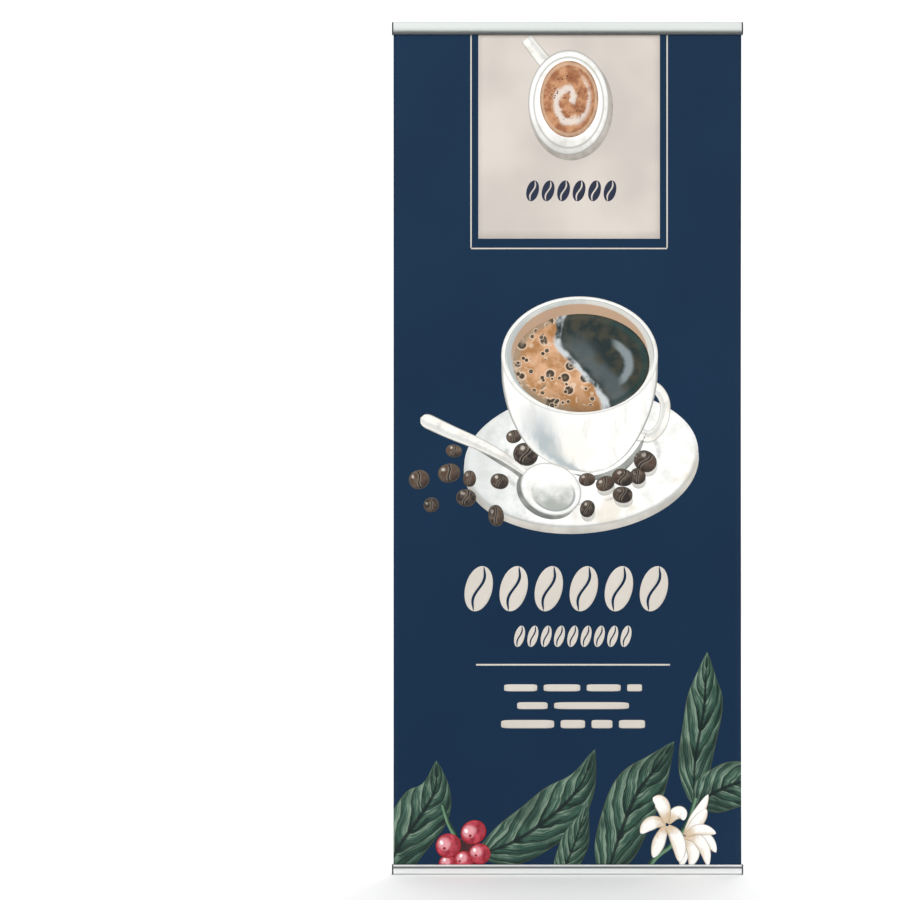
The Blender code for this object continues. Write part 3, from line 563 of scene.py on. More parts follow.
def bean_row(bm, count, first, step, height, half_x, half_z, layer, gap):
    """A row of leaning beans. first and step are along the row, in millimetres like the rest."""
    for i in range(count):
        middle = ((first + i * step) * MM, height * MM)
        bean_mark(bm, middle, half_x * MM, half_z * MM, layer, BEAN_LEAN, gap)


title = bmesh.new()
bean_row(title, 6, -204, 80.6, 657, 31, 53, 1, gap=0.10)
bean_row(title, 9, -110, 30.6, 547.5, 11.5, 25, 1, gap=0.14)
rows = [(416, 442, (76, 84, 78, 34)), (375, 401, (70, 172)), (331, 360, (122, 56, 48, 60))]
gap = 15 * MM
for low, high, widths in rows:
    widths = [width * MM for width in widths]
    length = sum(widths) + gap * (len(widths) - 1)
    bars_in_row(title, 13 * MM - length / 2, (low + 5) * MM, (high - 5) * MM, widths, gap, 1)
printed("print_marks", title, flat_ink("cream_mark_ink", CREAM, (208, 201, 191)))
label = bmesh.new()
bean_row(label, 6, -80, 35.6, 1572, 14, 24.5, 2, gap=0.13)
printed("print_label", label, flat_ink("navy_mark_ink", (14, 32, 62), (12, 28, 56)))
print("rows of marks printed")

# %% [markdown]
# ## Painted beans and porcelain
#
# The pictures on the print are in the manner of watercolour: flat washes, darker where the paint has
# pooled at an edge, with the white of the paper left for lights. Each picture is a few patches, and its
# material works out the washes from the patch's own coordinates.

# %% Washes
def painted(name, scale, detail=4.0, shine=0.3):
    """A material for paint, and its uneven wash: broad, with finer mottling in it."""
    recipe = Recipe(name, Roughness=0.45, Specular_IOR_Level=shine)
    return recipe, recipe.noise(recipe.place(), scale, detail, 0.6)


def from_centre(recipe):
    """Across, up and the distance from a disc's middle, 0 there and 1 at its edge."""
    u, v = recipe.across()
    side, rise = (u - 0.5) * 2, (v - 0.5) * 2
    return side, rise, (side * side + rise * rise) ** 0.5


def bean_recipe():
    recipe, wash = painted("painted_bean", 70.0, shine=0.45)
    where = recipe.place()
    side, rise, out = from_centre(recipe)
    tone = recipe.noise(where, 9.0, 0.0)
    body = blend(tone.step(0.40, 0.60), (40, 34, 31), (84, 62, 48))
    body = body.glaze(wash.step(0.40, 0.66), 104, 88, 74)
    low = (rise * -1.0 + side * 0.5 + (wash - 0.5) * 1.2).step(0.1, 0.9)
    body = body.glaze(low * 0.7, 34, 28, 26)
    slit = (side - (rise * 3.0).sine() * 0.18).size()
    body = body.glaze(slit.step(0.20, 0.10) * rise.size().step(0.9, 0.6) * 0.8, 138, 126, 112)
    body = body.glaze(slit.step(0.10, 0.05), 24, 19, 18)
    light = ((side + 0.42) ** 2.0 + (rise - 0.45) ** 2.0) ** 0.5
    body = body.glaze(light.step(0.28, 0.10) * wash.step(0.35, 0.6), 200, 192, 182)
    return recipe.coloured(body.glaze(out.step(0.84, 0.97), 76, 68, 58))


# %% [markdown]
# A curved outline is given by a few points, and `smooth_line` draws one smooth curve through them.
# Leaves, petals, stems and handles are ribbons along such a curve. The cup is what lies between two.

# %% Curves through points
def smooth_line(points):
    """The curve through the points, in millimetres. v from 0 to 1 runs from the first to the last."""
    knots = [Vector(point) * MM for point in points]
    knots = [2 * knots[0] - knots[1], *knots, 2 * knots[-1] - knots[-2]]
    spans = len(knots) - 3

    def at(v):
        span = min(int(v * spans), spans - 1)
        t = v * spans - span
        a, b, c, d = knots[span : span + 4]
        straight = (c - a) * t
        bend = (2 * a - 5 * b + 4 * c - d) * t**2
        return 0.5 * (2 * b + straight + bend + (3 * b - a - 3 * c + d) * t**3)

    return at


def ribbon(bm, points, half_width, layer, columns=6, rows=24):
    """A strip along the curve through the points. half_width(v) is its half width, in millimetres."""
    line = smooth_line(points)
    near = 0.001

    def place(u, v):
        along = (line(min(v + near, 1)) - line(max(v - near, 0))).normalized()
        return tuple(line(v) + Vector((along.y, -along.x)) * (half_width(v) * MM * (2 * u - 1)))

    patch(bm, columns, rows, place, layer)


def between(bm, left, right, layer, columns=24, rows=24):
    """What lies between two curves."""
    left, right = smooth_line(left), smooth_line(right)
    patch(bm, columns, rows, lambda u, v: tuple(left(v).lerp(right(v), u)), layer)


def spot(bm, x, z, half_x, half_z, layer, **options):
    disc(bm, (x * MM, z * MM), half_x * MM, half_z * MM, layer, **options)


def print_one(name, recipe, draw, *shape, **options):
    """Prints a picture that is a single spot, ribbon or fill."""
    bm = bmesh.new()
    draw(bm, *shape, **options)
    printed(name, bm, recipe)


print("curves ready")

# %% [markdown]
# ## The cup and its saucer
#
# The saucer is three layers of ink: the thickness of its edge, its white face, and on that the shadows
# of the cup and the spoon.

# %% Saucer
def saucer_recipe():
    recipe, wash = painted("painted_saucer", 24.0)
    where = recipe.place()
    side, rise, out = from_centre(recipe)
    body = blend(wash.step(0.40, 0.75), (252, 252, 250), (226, 226, 222))
    left = (side * -1.0 + (wash - 0.5) * 0.6).step(0.30, 0.85)
    body = body.glaze(left * 0.55, 190, 196, 194)
    warm = recipe.noise(where, 15.0, 2.0).step(0.50, 0.66) * (side - rise).step(0.4, 1.0)
    body = body.glaze(warm * 0.6, 226, 216, 196)
    ring = ((out - 0.66).size().step(0.030, 0.006)) * wash.step(0.42, 0.6)
    body = body.glaze(ring * 0.5, 170, 172, 168)
    body = body.glaze(out.step(0.955, 0.985) * (rise * -1.0).step(-0.3, 0.4) * 0.6, 176, 178, 172)
    return recipe.coloured(body)


edge = flat_ink("saucer_edge_ink", (222, 217, 208), (186, 184, 176), 12.0)
print_one("print_saucer_edge", edge, spot, 32, 944, 271, 160, 1, turn=5, columns=96, rows=8)
print_one("print_saucer", saucer_recipe(), spot, 32, 956, 270, 157, 2, turn=5, columns=96, rows=12)
shadow = bmesh.new()
spot(shadow, -48, 877, 73, 56, 3, turn=-30, columns=48)
under_spoon = [(-236, 998), (-170, 958), (-118, 925), (-84, 890)]
ribbon(shadow, under_spoon, lambda v: 3 + 8 * v * (1 - v), 3)
under_cup = [(10, 922), (62, 912), (122, 932), (160, 972), (184, 1022)]
ribbon(shadow, under_cup, lambda v: 8 * math.sin(math.pi * v), 3)
ink = flat_ink("saucer_shadow_ink", (112, 116, 112), (168, 170, 164), 20.0)
printed("print_saucer_shadow", shadow, ink)

# %% [markdown]
# The cup's body is what lies between its left and right outlines. The lip and the inside of the wall are
# one ellipse. The coffee is a smaller one over it, half foam and half clear.

# %% Cup
def cup_body_recipe():
    recipe = Recipe("painted_cup", Roughness=0.45, Specular_IOR_Level=0.3)
    u, v = recipe.across()
    streak = recipe.noise(recipe.stretched(recipe.place(), 3.0, 1.0, 1.0), 14.0, 4.0, 0.6)
    body = blend(streak.step(0.45, 0.75), (252, 251, 248), (228, 226, 220))
    shadow = ((u - 0.19).size() * 6.0 + (streak - 0.5) * 2.4).step(1.3, 0.1) * v.step(0.15, 0.5)
    body = body.glaze(shadow * 0.85, 160, 172, 176)
    warm = ((u - 0.45).size() * 3.0 + (v - 0.6).size() * 2.6 + (streak - 0.5)).step(1.0, 0.2)
    body = body.glaze(warm * 0.5, 240, 234, 220)
    foot = (v + (u - 0.5).size() * 0.25 + (streak - 0.5) * 0.4).step(0.80, 1.08)
    body = body.glaze(foot * 0.75, 186, 182, 170)
    outline = (u - 0.5).size().step(0.482, 0.496)
    return recipe.coloured(body.glaze(outline * 0.8, 140, 142, 138))


def rim_recipe():
    """The cup's lip and the inside of its wall above the coffee."""
    recipe, wash = painted("painted_rim", 18.0)
    side, rise, out = from_centre(recipe)
    wall = blend((wash - side * 0.25).step(0.38, 0.72), (206, 205, 198), (178, 184, 182))
    stain = out.step(0.885, 0.865) * rise.step(-0.35, 0.2)
    wall = wall.glaze(stain * 0.85, 178, 140, 106)
    lip = blend(wash.step(0.5, 0.7), (250, 250, 247), (230, 229, 224))
    line = (out - 0.945).size().step(0.014, 0.004) * rise.step(-0.4, 0.1)
    body = recipe.mix(out.step(0.925, 0.945), wall, lip)
    body = body.glaze(line * 0.7, 140, 144, 140)
    return recipe.coloured(body.glaze(out.step(0.982, 0.995) * 0.5, 196, 190, 178))


def coffee_recipe():
    """Half is golden foam with bubbles, and half is the dark coffee where the foam has drawn back."""
    recipe, wash = painted("painted_coffee", 26.0)
    where = recipe.place()
    u, v = recipe.across()
    side, rise, out = from_centre(recipe)
    wobble = (recipe.noise(where, 30.0, 2.0) - 0.5) * 0.14
    shore = side + 0.03 + (rise * 2.0 + 0.35).sine() * 0.36 + wobble

    foam = blend(wash.step(0.36, 0.62), (170, 120, 70), (214, 168, 130))
    low = (rise * -1.0 + (wash - 0.5) * 0.8).step(0.45, 1.0)
    foam = foam.glaze(low * 0.7, 132, 96, 58)
    rim = out.step(0.86, 0.95) * side.step(0.1, -0.4)
    foam = foam.glaze(rim * 0.75, 150, 134, 112)
    for scale, radius, share in ((8.5, 0.42, 0.50), (15.0, 0.36, 0.44)):
        bubbles = recipe.cells(recipe.vector(u * 1.35, v, 0.0), scale)
        chosen = recipe.noise(recipe.vector(u * 1.35, v, scale), 7.0, 0.0).step(share, share + 0.10)
        foam = foam.glaze(bubbles.step(radius + 0.12, radius + 0.02) * chosen * 0.6, 232, 208, 184)
        foam = foam.glaze(bubbles.step(radius, radius - 0.10) * chosen, 70, 58, 42)
        foam = foam.glaze(bubbles.step(radius * 0.50, radius * 0.2) * chosen * 0.7, 120, 108, 88)

    dark = blend(wash.step(0.40, 0.60), (28, 44, 44), (62, 62, 50))
    sheen = (shore - 0.30 + (wash - 0.5) * 0.35).size().step(0.28, 0.05) * rise.step(0.75, 0.2)
    dark = dark.glaze(sheen * 0.55, 96, 108, 112)
    arc = ((side - 0.20) ** 2.0 + (rise + 0.02) ** 2.0) ** 0.5
    glint = (arc - 0.50 + (wash - 0.5) * 0.10).size().step(0.10, 0.03)
    lit = (side + rise * 0.12).step(0.46, 0.60)
    dark = dark.glaze(glint * lit * 0.85, 138, 150, 154)
    ring = (out - 0.93).size().step(0.06, 0.02) * side.step(0.2, 0.6)
    dark = dark.glaze(ring * 0.6, 22, 62, 58)

    body = recipe.mix(shore.step(-0.01, 0.02), foam, dark)
    bank = (shore - 0.03).size().step(0.085, 0.02)
    return recipe.coloured(body.glaze(bank * wash.step(0.3, 0.55) * 0.9, 206, 212, 214))


CUP_LEFT = [
    (-152, 1196), (-150, 1130), (-137, 1070), (-114, 1018), (-82, 976), (-40, 947), (3, 931), (50, 924),
]
CUP_RIGHT = [
    (208, 1196), (206, 1130), (193, 1070), (171, 1018), (144, 976), (114, 947), (84, 930), (52, 923),
]

print_one("print_cup", cup_body_recipe(), between, CUP_LEFT, CUP_RIGHT, 4)
print_one("print_cup_rim", rim_recipe(), spot, 28, 1193, 180, 136, 5, columns=96, rows=8)
print_one("print_coffee", coffee_recipe(), spot, 32, 1176, 157, 113, 6, columns=80, rows=8)

# %% [markdown]
# A handle is a ribbon of china that bends round. The spoon is a ribbon that narrows towards its bowl, and
# the bowl is a disc with a darker hollow.

# %% Handles and spoon
SPOON_ROUND = 0.07  # share of the handle in its round end


def china_recipe(name):
    """A ribbon of china: white along its middle, grey where it turns away, and a thin drawn edge."""
    recipe, wash = painted(name, 32.0)
    u = recipe.across()[0]
    side = (u - 0.5) * 2
    body = blend(wash.step(0.40, 0.70), (246, 244, 238), (222, 219, 210))
    fold = (side - 0.35 + (wash - 0.5) * 0.8).size().step(0.5, 0.1)
    body = body.glaze(fold * 0.45, 178, 184, 182)
    return recipe.coloured(body.glaze(side.size().step(0.80, 0.96) * 0.7, 150, 150, 144))


def spoon_bowl_recipe():
    recipe, wash = painted("painted_spoon_bowl", 30.0)
    side, rise, out = from_centre(recipe)
    lip = blend(wash.step(0.45, 0.7), (252, 252, 250), (234, 233, 228))
    dip = (rise * -0.7 + side * 0.4 + (wash - 0.5) * 1.2).step(-0.35, 0.6)
    hollow = blend(dip, (248, 248, 244), (170, 174, 168))
    square = (side - 0.08) ** 2.0 + (rise + 0.06) ** 2.0
    body = recipe.mix(square.step(0.56, 0.42), lip, hollow)
    ring = (square**0.5 - 0.72).size().step(0.06, 0.02)
    body = body.glaze(ring * (side - rise).step(-0.2, 0.7) * 0.75, 122, 130, 130)
    return recipe.coloured(body.glaze(out.step(0.93, 0.985) * 0.6, 158, 160, 154))


def spoon_width(v):
    """Round at the free end, and narrowing to the neck."""
    end = min(v, SPOON_ROUND) / SPOON_ROUND
    return 17 * math.sqrt(max(0.0, 1 - (1 - end) ** 2)) * (1 - 0.58 * v**1.6)


china = china_recipe("painted_cup_handle")
line = [(158, 1118), (200, 1120), (224, 1086), (218, 1036), (192, 1008), (160, 1012)]
print_one("print_cup_handle", china, ribbon, line, lambda v: 15 - 3 * math.sin(math.pi * v), 3, 6, 40)
china = china_recipe("painted_spoon_handle")
line = [(-338, 1050), (-270, 1018), (-205, 990), (-150, 961), (-88, 918)]
print_one("print_spoon", china, ribbon, line, spoon_width, 6, 6, 60)
print_one("print_spoon_bowl", spoon_bowl_recipe(), spot, -38, 886, 72, 58, 7, turn=-25, columns=64)

# %% [markdown]
# Roasted beans lie on the saucer and beside it. Some are printed under the cup and some over it.

# %% Beans round the saucer
SAUCER_BEANS = [  # across, up, half width, half height, turn
    (-164, 825, 18, 25, 8), (-123, 1007, 18, 15, 15), (-96, 966, 29, 26, -20), (-156, 904, 21, 18, -12),
    (179, 950, 27, 24, -35), (162, 916, 18, 19, 10), (87, 899, 22, 17, 20), (127, 873, 23, 19, -8),
    (46, 841, 17, 20, -15),
]
FRONT_BEANS = [
    (-341, 908, 24, 22, 20), (-272, 923, 26, 22, 12), (-225, 910, 15, 19, 0), (-233, 866, 23, 20, -10),
    (-313, 850, 18, 17, 25), (-261, 974, 19, 15, -8), (127, 913, 25, 20, -15), (45, 908, 19, 15, 5),
]

beans = bmesh.new()
for layer, row in ((3, SAUCER_BEANS), (5, FRONT_BEANS)):
    for x, z, half_x, half_z, turn in row:
        spot(beans, x, z, half_x, half_z, layer, turn=turn, power=2.15, columns=28, rows=4)
printed("print_beans", beans, bean_recipe())
shade = bmesh.new()
for x, z, half_x, half_z, turn in SAUCER_BEANS[4:]:
    spot(shade, x + 2, z - 12, half_x * 0.95, half_z * 0.9, 2.5, turn=turn, columns=28, rows=3)
ink = flat_ink("bean_shadow_ink", (196, 194, 186), (222, 220, 214), 20.0)
printed("print_bean_shadows", shade, ink)
print(len(SAUCER_BEANS) + len(FRONT_BEANS), "beans painted")

# %% [markdown]
# On the cream panel stands a second cup, seen from above, with milk foam drawn into its coffee.

# %% Small cup on the panel, seen from above
def latte_recipe():
    """Milk foam drawn into the coffee in a spiral, with a few grains on it."""
    recipe, wash = painted("painted_latte", 40.0)
    u, v = recipe.across()
    side, rise, out = from_centre(recipe)
    angle = recipe.node("ShaderNodeMath", {"operation": "ARCTAN2"}, (rise, side))
    coil = (out * 9.5 - angle + (wash - 0.5) * 4.2 + 0.6).sine()
    swirl = coil.step(-0.05, 0.95) * out.step(0.84, 0.62)
    body = blend(wash.step(0.38, 0.62), (150, 94, 60), (196, 144, 104))
    body = body.glaze(swirl * 0.9, 226, 214, 204)
    grains = recipe.cells(recipe.vector(u, v * 1.3, 0.0), 17.0)
    chosen = recipe.noise(recipe.vector(u, v, 2.0), 6.0, 0.0).step(0.46, 0.54)
    body = body.glaze(grains.step(0.30, 0.16) * chosen * out.step(0.75, 0.6), 78, 46, 30)
    ring = (out - 0.93).size().step(0.07, 0.02)
    return recipe.coloured(body.glaze(ring * 0.6, 214, 186, 158))


def top_cup_recipe():
    recipe, wash = painted("painted_top_cup", 30.0)
    side, rise, out = from_centre(recipe)
    body = blend(wash.step(0.44, 0.74), (250, 249, 246), (228, 226, 220))
    low = (rise * -1.0 - side * 0.25 + (wash - 0.5) * 0.5).step(0.45, 1.0)
    body = body.glaze(low * 0.5, 186, 186, 178)
    lip = (out - 0.86).size().step(0.035, 0.008)
    body = body.glaze(lip * 0.7, 172, 172, 164)
    return recipe.coloured(body.glaze(out.step(0.955, 0.99) * 0.7, 150, 150, 142))


shadow = flat_ink("top_cup_shadow_ink", (166, 158, 150), (196, 188, 180), 30.0)
print_one("print_top_cup_shadow", shadow, spot, 8, 1764, 97, 122, 1.6, columns=64)
china = china_recipe("painted_top_handle")
line = [(-40, 1856), (-66, 1886), (-94, 1922)]
print_one("print_top_cup_handle", china, ribbon, line, lambda v: 17 - 3 * v, 2, 4, 12)
print_one("print_top_cup", top_cup_recipe(), spot, 3, 1775, 93, 121, 3, columns=72)
print_one("print_top_coffee", latte_recipe(), spot, 4, 1783, 67, 88, 4, columns=64)

# %% [markdown]
# ## Leaves, berries and flowers
#
# Along the foot of the print grows a coffee branch. A leaf is a ribbon that swells and comes to a point.
# Its coordinates run across it and along it, so the rib and the veins are worked out from them.

# %% Leaves
def leaf_recipe():
    recipe, wash = painted("painted_leaf", 40.0, 3.0)
    where = recipe.place()
    u, v = recipe.across()
    side = (u - 0.5).size() * 2
    drift = recipe.noise(where, 16.0, 2.0)
    sweep = side**1.3
    band = (v * 6.5 - sweep * 2.0 + drift).part()
    strokes = recipe.noise(recipe.vector(v * 90.0 - sweep * 28.0 + drift * 14.0, side * 3.0, u), 1.0, 2.0)
    hatch = strokes.step(0.36, 0.64)
    tone = band * 0.50 + hatch * 0.34 + wash * 0.34 + (u - 0.5) * -0.26
    body = blend(tone.step(0.22, 0.58), (13, 38, 32), (44, 80, 66))
    body = body.glaze(tone.step(0.55, 1.02), 128, 152, 132)
    deep = recipe.noise(where, 10.0, 1.0).step(0.50, 0.64)
    body = body.glaze(deep * 0.5, 14, 38, 33)
    vein = (band - 0.5).size().step(0.42, 0.49)
    body = body.glaze(vein * 0.8, 9, 28, 26)
    rib = side.step(0.11, 0.04) * v.step(0.98, 0.90)
    body = body.glaze(rib * 0.92, 9, 28, 28)
    return recipe.coloured(body.glaze(side.step(0.93, 0.99) * 0.6, 74, 84, 58))


LEAVES = [  # layer, half width, the points of the rib from stalk to tip
    (2, 63, [(-446, -64), (-394, 52), (-334, 140), (-304, 196), (-301, 262)]),
    (2, 63, [(-206, 44), (-118, 78), (-30, 140), (30, 205), (64, 288)]),
    (3, 34, [(-22, -14), (4, 40), (26, 98), (49, 168)]),
    (2, 62, [(84, -22), (118, 82), (156, 178), (204, 246), (246, 306)]),
    (2, 45, [(290, 160), (294, 262), (314, 380), (318, 450), (322, 512)]),
    (3, 56, [(292, 158), (346, 192), (414, 214), (492, 204)]),
]


def leaf_width(width, v):
    """Narrow at the stalk, full before the middle, and drawn out to a point, with a slight wave."""
    full = math.sin(math.pi * v**0.82) ** 0.82
    return width * full * (1 - 0.30 * v**3) * (1 + 0.05 * math.sin(13 * v))


leaves = bmesh.new()
for layer, width, rib in LEAVES:
    ribbon(leaves, rib, lambda v, width=width: leaf_width(width, v), layer, 12, 48)
printed("print_leaves", leaves, leaf_recipe())
stems = bmesh.new()
to_berries = [(-287, 160), (-276, 124), (-258, 88)]
ribbon(stems, to_berries, lambda v: 3.5 + 2.5 * v, 3, 3, 12)
to_leaf = [(180, 10), (206, 42), (242, 70), (274, 116), (295, 176)]
ribbon(stems, to_leaf, lambda v: 6.5 - 2 * v, 4, 3, 24)
stem = Recipe("painted_stem", Roughness=0.45, Specular_IOR_Level=0.3)
lit = stem.across()[0] * 1.4 + (stem.noise(stem.place(), 50.0, 3.0) - 0.5)
printed("print_stems", stems, stem.coloured(blend(lit.step(0.3, 0.9), (24, 58, 44), (104, 142, 110))))
print(len(LEAVES), "leaves and two stems painted")

# %% [markdown]
# The berries hang in a tight bunch, so each has a layer of its own, and a dark gap shows between them.

# %% Berries
def berry_recipe():
    recipe, wash = painted("painted_berry", 70.0)
    side, rise, out = from_centre(recipe)
    body = blend(wash.step(0.40, 0.64), (150, 30, 48), (206, 76, 92))
    pale = (side + 0.25) ** 2.0 + (rise - 0.25) ** 2.0
    body = body.glaze((pale + (wash - 0.5) * 0.5).step(0.42, 0.05) * 0.85, 240, 168, 176)
    low = (side - rise * 0.4 + (wash - 0.5)).step(0.25, 0.9)
    body = body.glaze(low * 0.55, 132, 26, 40)
    glint = (side + 0.42) ** 2.0 * 1.6 + (rise - 0.42) ** 2.0
    body = body.glaze(glint.step(0.045, 0.020), 252, 244, 244)
    mark = (side + 0.36) ** 2.0 + (rise + 0.10) ** 2.0
    body = body.glaze(mark.step(0.022, 0.008), 140, 20, 30)
    return recipe.coloured(body.glaze(out.step(0.86, 0.96), 168, 26, 34))


BERRIES = [  # across, up, half width, half height, layer
    (-239, 30, 23, 24, 4), (-275, 24, 21, 20, 5), (-202, 47, 25, 24, 6), (-274, 66, 29, 28, 7),
    (-216, 97, 30, 27, 8),
]

berries = bmesh.new()
for i, (x, z, half_x, half_z, layer) in enumerate(BERRIES):
    spot(berries, x, z, half_x, half_z, layer, turn=-20 + 13 * i, columns=40)
printed("print_berries", berries, berry_recipe())
dark = flat_ink("berry_gap_ink", (52, 14, 22), (84, 18, 28), 40.0)
print_one("print_berry_gap", dark, spot, -240, 62, 22, 22, 3, columns=32)
print(len(BERRIES), "berries painted")

# %% [markdown]
# Two white flowers open beside the right-hand leaves. A petal is a ribbon too, with a fuller tip.

# %% Flowers
def petal_recipe():
    recipe, wash = painted("painted_petal", 40.0, 3.0)
    u, v = recipe.across()
    side = (u - 0.5).size() * 2
    fold = (u * 1.6 + (wash - 0.5) * 1.2).step(0.95, 1.35)
    body = blend(fold * 0.6, (252, 250, 246), (228, 210, 184))
    base = (v * -1.0 + (wash - 0.5) * 0.5).step(-0.42, -0.06)
    body = body.glaze(base * 0.8, 206, 176, 134)
    return recipe.coloured(body.glaze(side.step(0.80, 0.95) * 0.65, 150, 134, 112))


PETALS = [  # layer, half width, the points from the heart of the flower to the tip
    (7, 17, [(228, 118), (222, 150), (212, 168), (196, 176)]),
    (6, 16, [(226, 116), (202, 120), (184, 112), (168, 94)]),
    (5, 15, [(226, 112), (214, 84), (206, 62), (197, 38)]),
    (8, 17, [(230, 110), (248, 90), (258, 60), (258, 28)]),
    (6, 15, [(230, 118), (246, 138), (262, 142), (268, 124)]),
    (5, 12, [(270, 90), (288, 122), (308, 152), (324, 184)]),
    (6, 14, [(272, 92), (292, 112), (308, 132), (320, 150)]),
    (7, 13, [(274, 90), (296, 102), (318, 102), (342, 94)]),
    (5, 14, [(274, 88), (302, 92), (326, 76), (342, 50)]),
    (6, 14, [(272, 86), (298, 82), (316, 56), (324, 18)]),
    (5, 15, [(262, 84), (284, 66), (290, 44), (282, 18)]),
    (4, 14, [(252, 96), (262, 70), (266, 44), (262, 18)]),
]


def petal_width(width, v):
    """Already open at the heart of the flower, full past the middle, and rounded at the tip."""
    return width * math.sin(math.pi * (0.10 + 0.90 * v) ** 1.15) ** 0.62


petals = bmesh.new()
for layer, width, line in PETALS:
    ribbon(petals, line, lambda v, width=width: petal_width(width, v), layer, 6, 20)
printed("print_flowers", petals, petal_recipe())

# %% [markdown]
# The film is one soft sheet that the two rails hold stretched. It is drawn at the size that was cut for it,
# and the layers of ink lie on it.

# %% [markdown]
# ## Metal, plastic and rubber
#
# The rails are drawn through a die, so very fine lines run along them under a satin anodised layer. The
# pole's tubes have the same finish with lines along the pole. The foot arm is cast and painted with a
# blue-grey powder, which dries to a fine orange peel. The end caps are black plastic, with a light spark
# grain.

# %% Finishes
RAIL_LINES = (2.0, 2600.0, 2600.0)
POLE_LINES = (2600.0, 2600.0, 2.0)
# The painted shade on the lower rail's groove lies between these heights, with a soft edge.
GROOVE_LOW = FLOOR + 14.9 * MM
GROOVE_HIGH = FLOOR + 19.2 * MM
GROOVE_SHADE_EDGE = 1.0 * MM
STRANDS = 5200.0  # how closely the cord's strands are set


def drawn_metal(name, colour, along, roughness=0.30, metallic=1.0):
    """Satin metal with fine lines. along is the Mapping scale: small in the direction the lines run."""
    recipe = Recipe(name, Metallic=metallic)
    where = recipe.place()
    lines = recipe.noise(recipe.stretched(where, *along), 1.0, 3.0, 0.6)
    cloud = recipe.noise(where, 7.0, 2.0)
    dim = tuple(c * 0.86 for c in colour)
    recipe.feed(Base_Color=recipe.mix(lines.step(0.3, 0.7) * 0.6 + cloud * 0.3, colour, dim))
    recipe.feed(Roughness=roughness - 0.05 + lines * 0.10 + cloud * 0.04)
    recipe.bump(lines, 0.10, 0.00004)
    return recipe


def grained(name, colour, scale, strength, roughness):
    """Moulded or painted: a fine grain, and cloudy wear that is a little lighter and shinier."""
    recipe = Recipe(name, Specular_IOR_Level=0.5)
    where = recipe.place()
    grain = recipe.noise(where, scale, 3.0, 0.55)
    cloud = recipe.noise(where, 22.0, 3.0).step(0.45, 0.75)
    light = tuple(min(1.0, c * 1.35 + 0.01) for c in colour)
    recipe.feed(Base_Color=recipe.mix(cloud * 0.35 + grain * 0.2, colour, light))
    recipe.feed(Roughness=roughness + 0.06 - cloud * 0.10 + (grain - 0.5) * 0.10)
    recipe.bump(grain, strength, 0.0002)
    return recipe


def lit_front_with_painted_groove_shade():
    """Lower rail front: aluminium made brighter as painted light, with painted shade in the groove."""
    # Painted light: a brighter base and less metal than the other aluminium make this rail read lighter.
    recipe = drawn_metal("satin_lit_front_painted_groove_shade", tint(252, 253, 252), RAIL_LINES, 0.34, 0.45)
    height = recipe.split(recipe.place())[2]
    # Painted shade: the band of height across the groove is darkened.
    groove = height.step(GROOVE_LOW - GROOVE_SHADE_EDGE, GROOVE_LOW)
    groove = groove * height.step(GROOVE_HIGH + GROOVE_SHADE_EDGE, GROOVE_HIGH)
    bright = Wire(recipe, recipe.shader.inputs["Base Color"].links[0].from_socket)
    recipe.feed(Base_Color=recipe.mix(groove, bright, tint(126, 130, 132)))
    return recipe


def cord_recipe():
    """A woven sleeve: two sets of strands that cross."""
    recipe = Recipe("woven_cord", Specular_IOR_Level=0.3)
    x, z = recipe.split(recipe.place())[::2]
    left = ((z + x) * STRANDS).sine()
    right = ((z - x) * STRANDS).sine()
    strands = left.most(right) * 0.5 + 0.5
    recipe.feed(Base_Color=blend(strands, (150, 150, 148), (222, 222, 218)))
    recipe.feed(Roughness=0.9 - strands * 0.15)
    recipe.bump(strands, 0.5, 0.0003)
    return recipe


aluminium = drawn_metal("satin_aluminium", tint(225, 230, 227), RAIL_LINES)
lit_lower_front = lit_front_with_painted_groove_shade()
tube_metal = drawn_metal("satin_tube", tint(192, 192, 189), POLE_LINES, 0.26)
steel = drawn_metal("plated_steel", tint(206, 206, 204), (60.0, 60.0, 60.0), 0.28)
post_metal = drawn_metal("dark_post_steel", tint(104, 112, 112), (900.0, 900.0, 20.0), 0.34)
powder = grained("foot_powder_coat", tint(92, 109, 130), 520.0, 0.35, 0.42)
black_plastic = grained("black_plastic", tint(58, 61, 65), 900.0, 0.30, 0.48)
rubber = grained("black_rubber", tint(34, 34, 36), 700.0, 0.45, 0.78)
cord_sleeve = cord_recipe()
print("finishes mixed")

# %% [markdown]
# The working parts came as loose triangles. Their meshes must stay as they are, so each one is welded and
# shaded by modifiers: a Weld joins the triangles, and an Edge Split keeps the real corners sharp.

# %% Give every working part its finish
CORNER = math.radians(28)
FINISH_OF_SLOT = {
    "anodised_aluminium": aluminium,
    "silver_tube": tube_metal,
    "foot_moulding": powder,
    "black_plastic": black_plastic,
    "rubber": rubber,
    "steel": steel,
    "post_steel": post_metal,
    "elastic_cord": cord_sleeve,
}
# The lower rail's front takes the brighter copy, with painted shade in its groove.
FINISH_OF_NODE = {"bottom_rail_jaw": lit_lower_front}


finished_parts = 0
for part in frame["record"]["subparts"]:
    recipe = FINISH_OF_NODE.get(part["node"]) or FINISH_OF_SLOT.get(part["material_slot"])
    if not recipe:
        continue
    node = nodes[part["node"]]
    node.data.materials.clear()
    node.data.materials.append(recipe.material)
    node.data.shade_smooth()
    weld = node.modifiers.new("weld", "WELD")
    weld.merge_threshold = 0.000002
    corners = node.modifiers.new("corners", "EDGE_SPLIT")
    corners.split_angle = CORNER
    finished_parts += 1
print(finished_parts, "working parts finished")

# %% [markdown]
# ## The pole
#
# The working model's tubes have few sides, which shows in the light. Each tube is drawn again here as a
# thin-walled pipe: a circle is extruded ring by ring along the bowed line that the pole follows, then
# given its wall. The line leaves the post at a slight lean and bows forward to the upper rail.

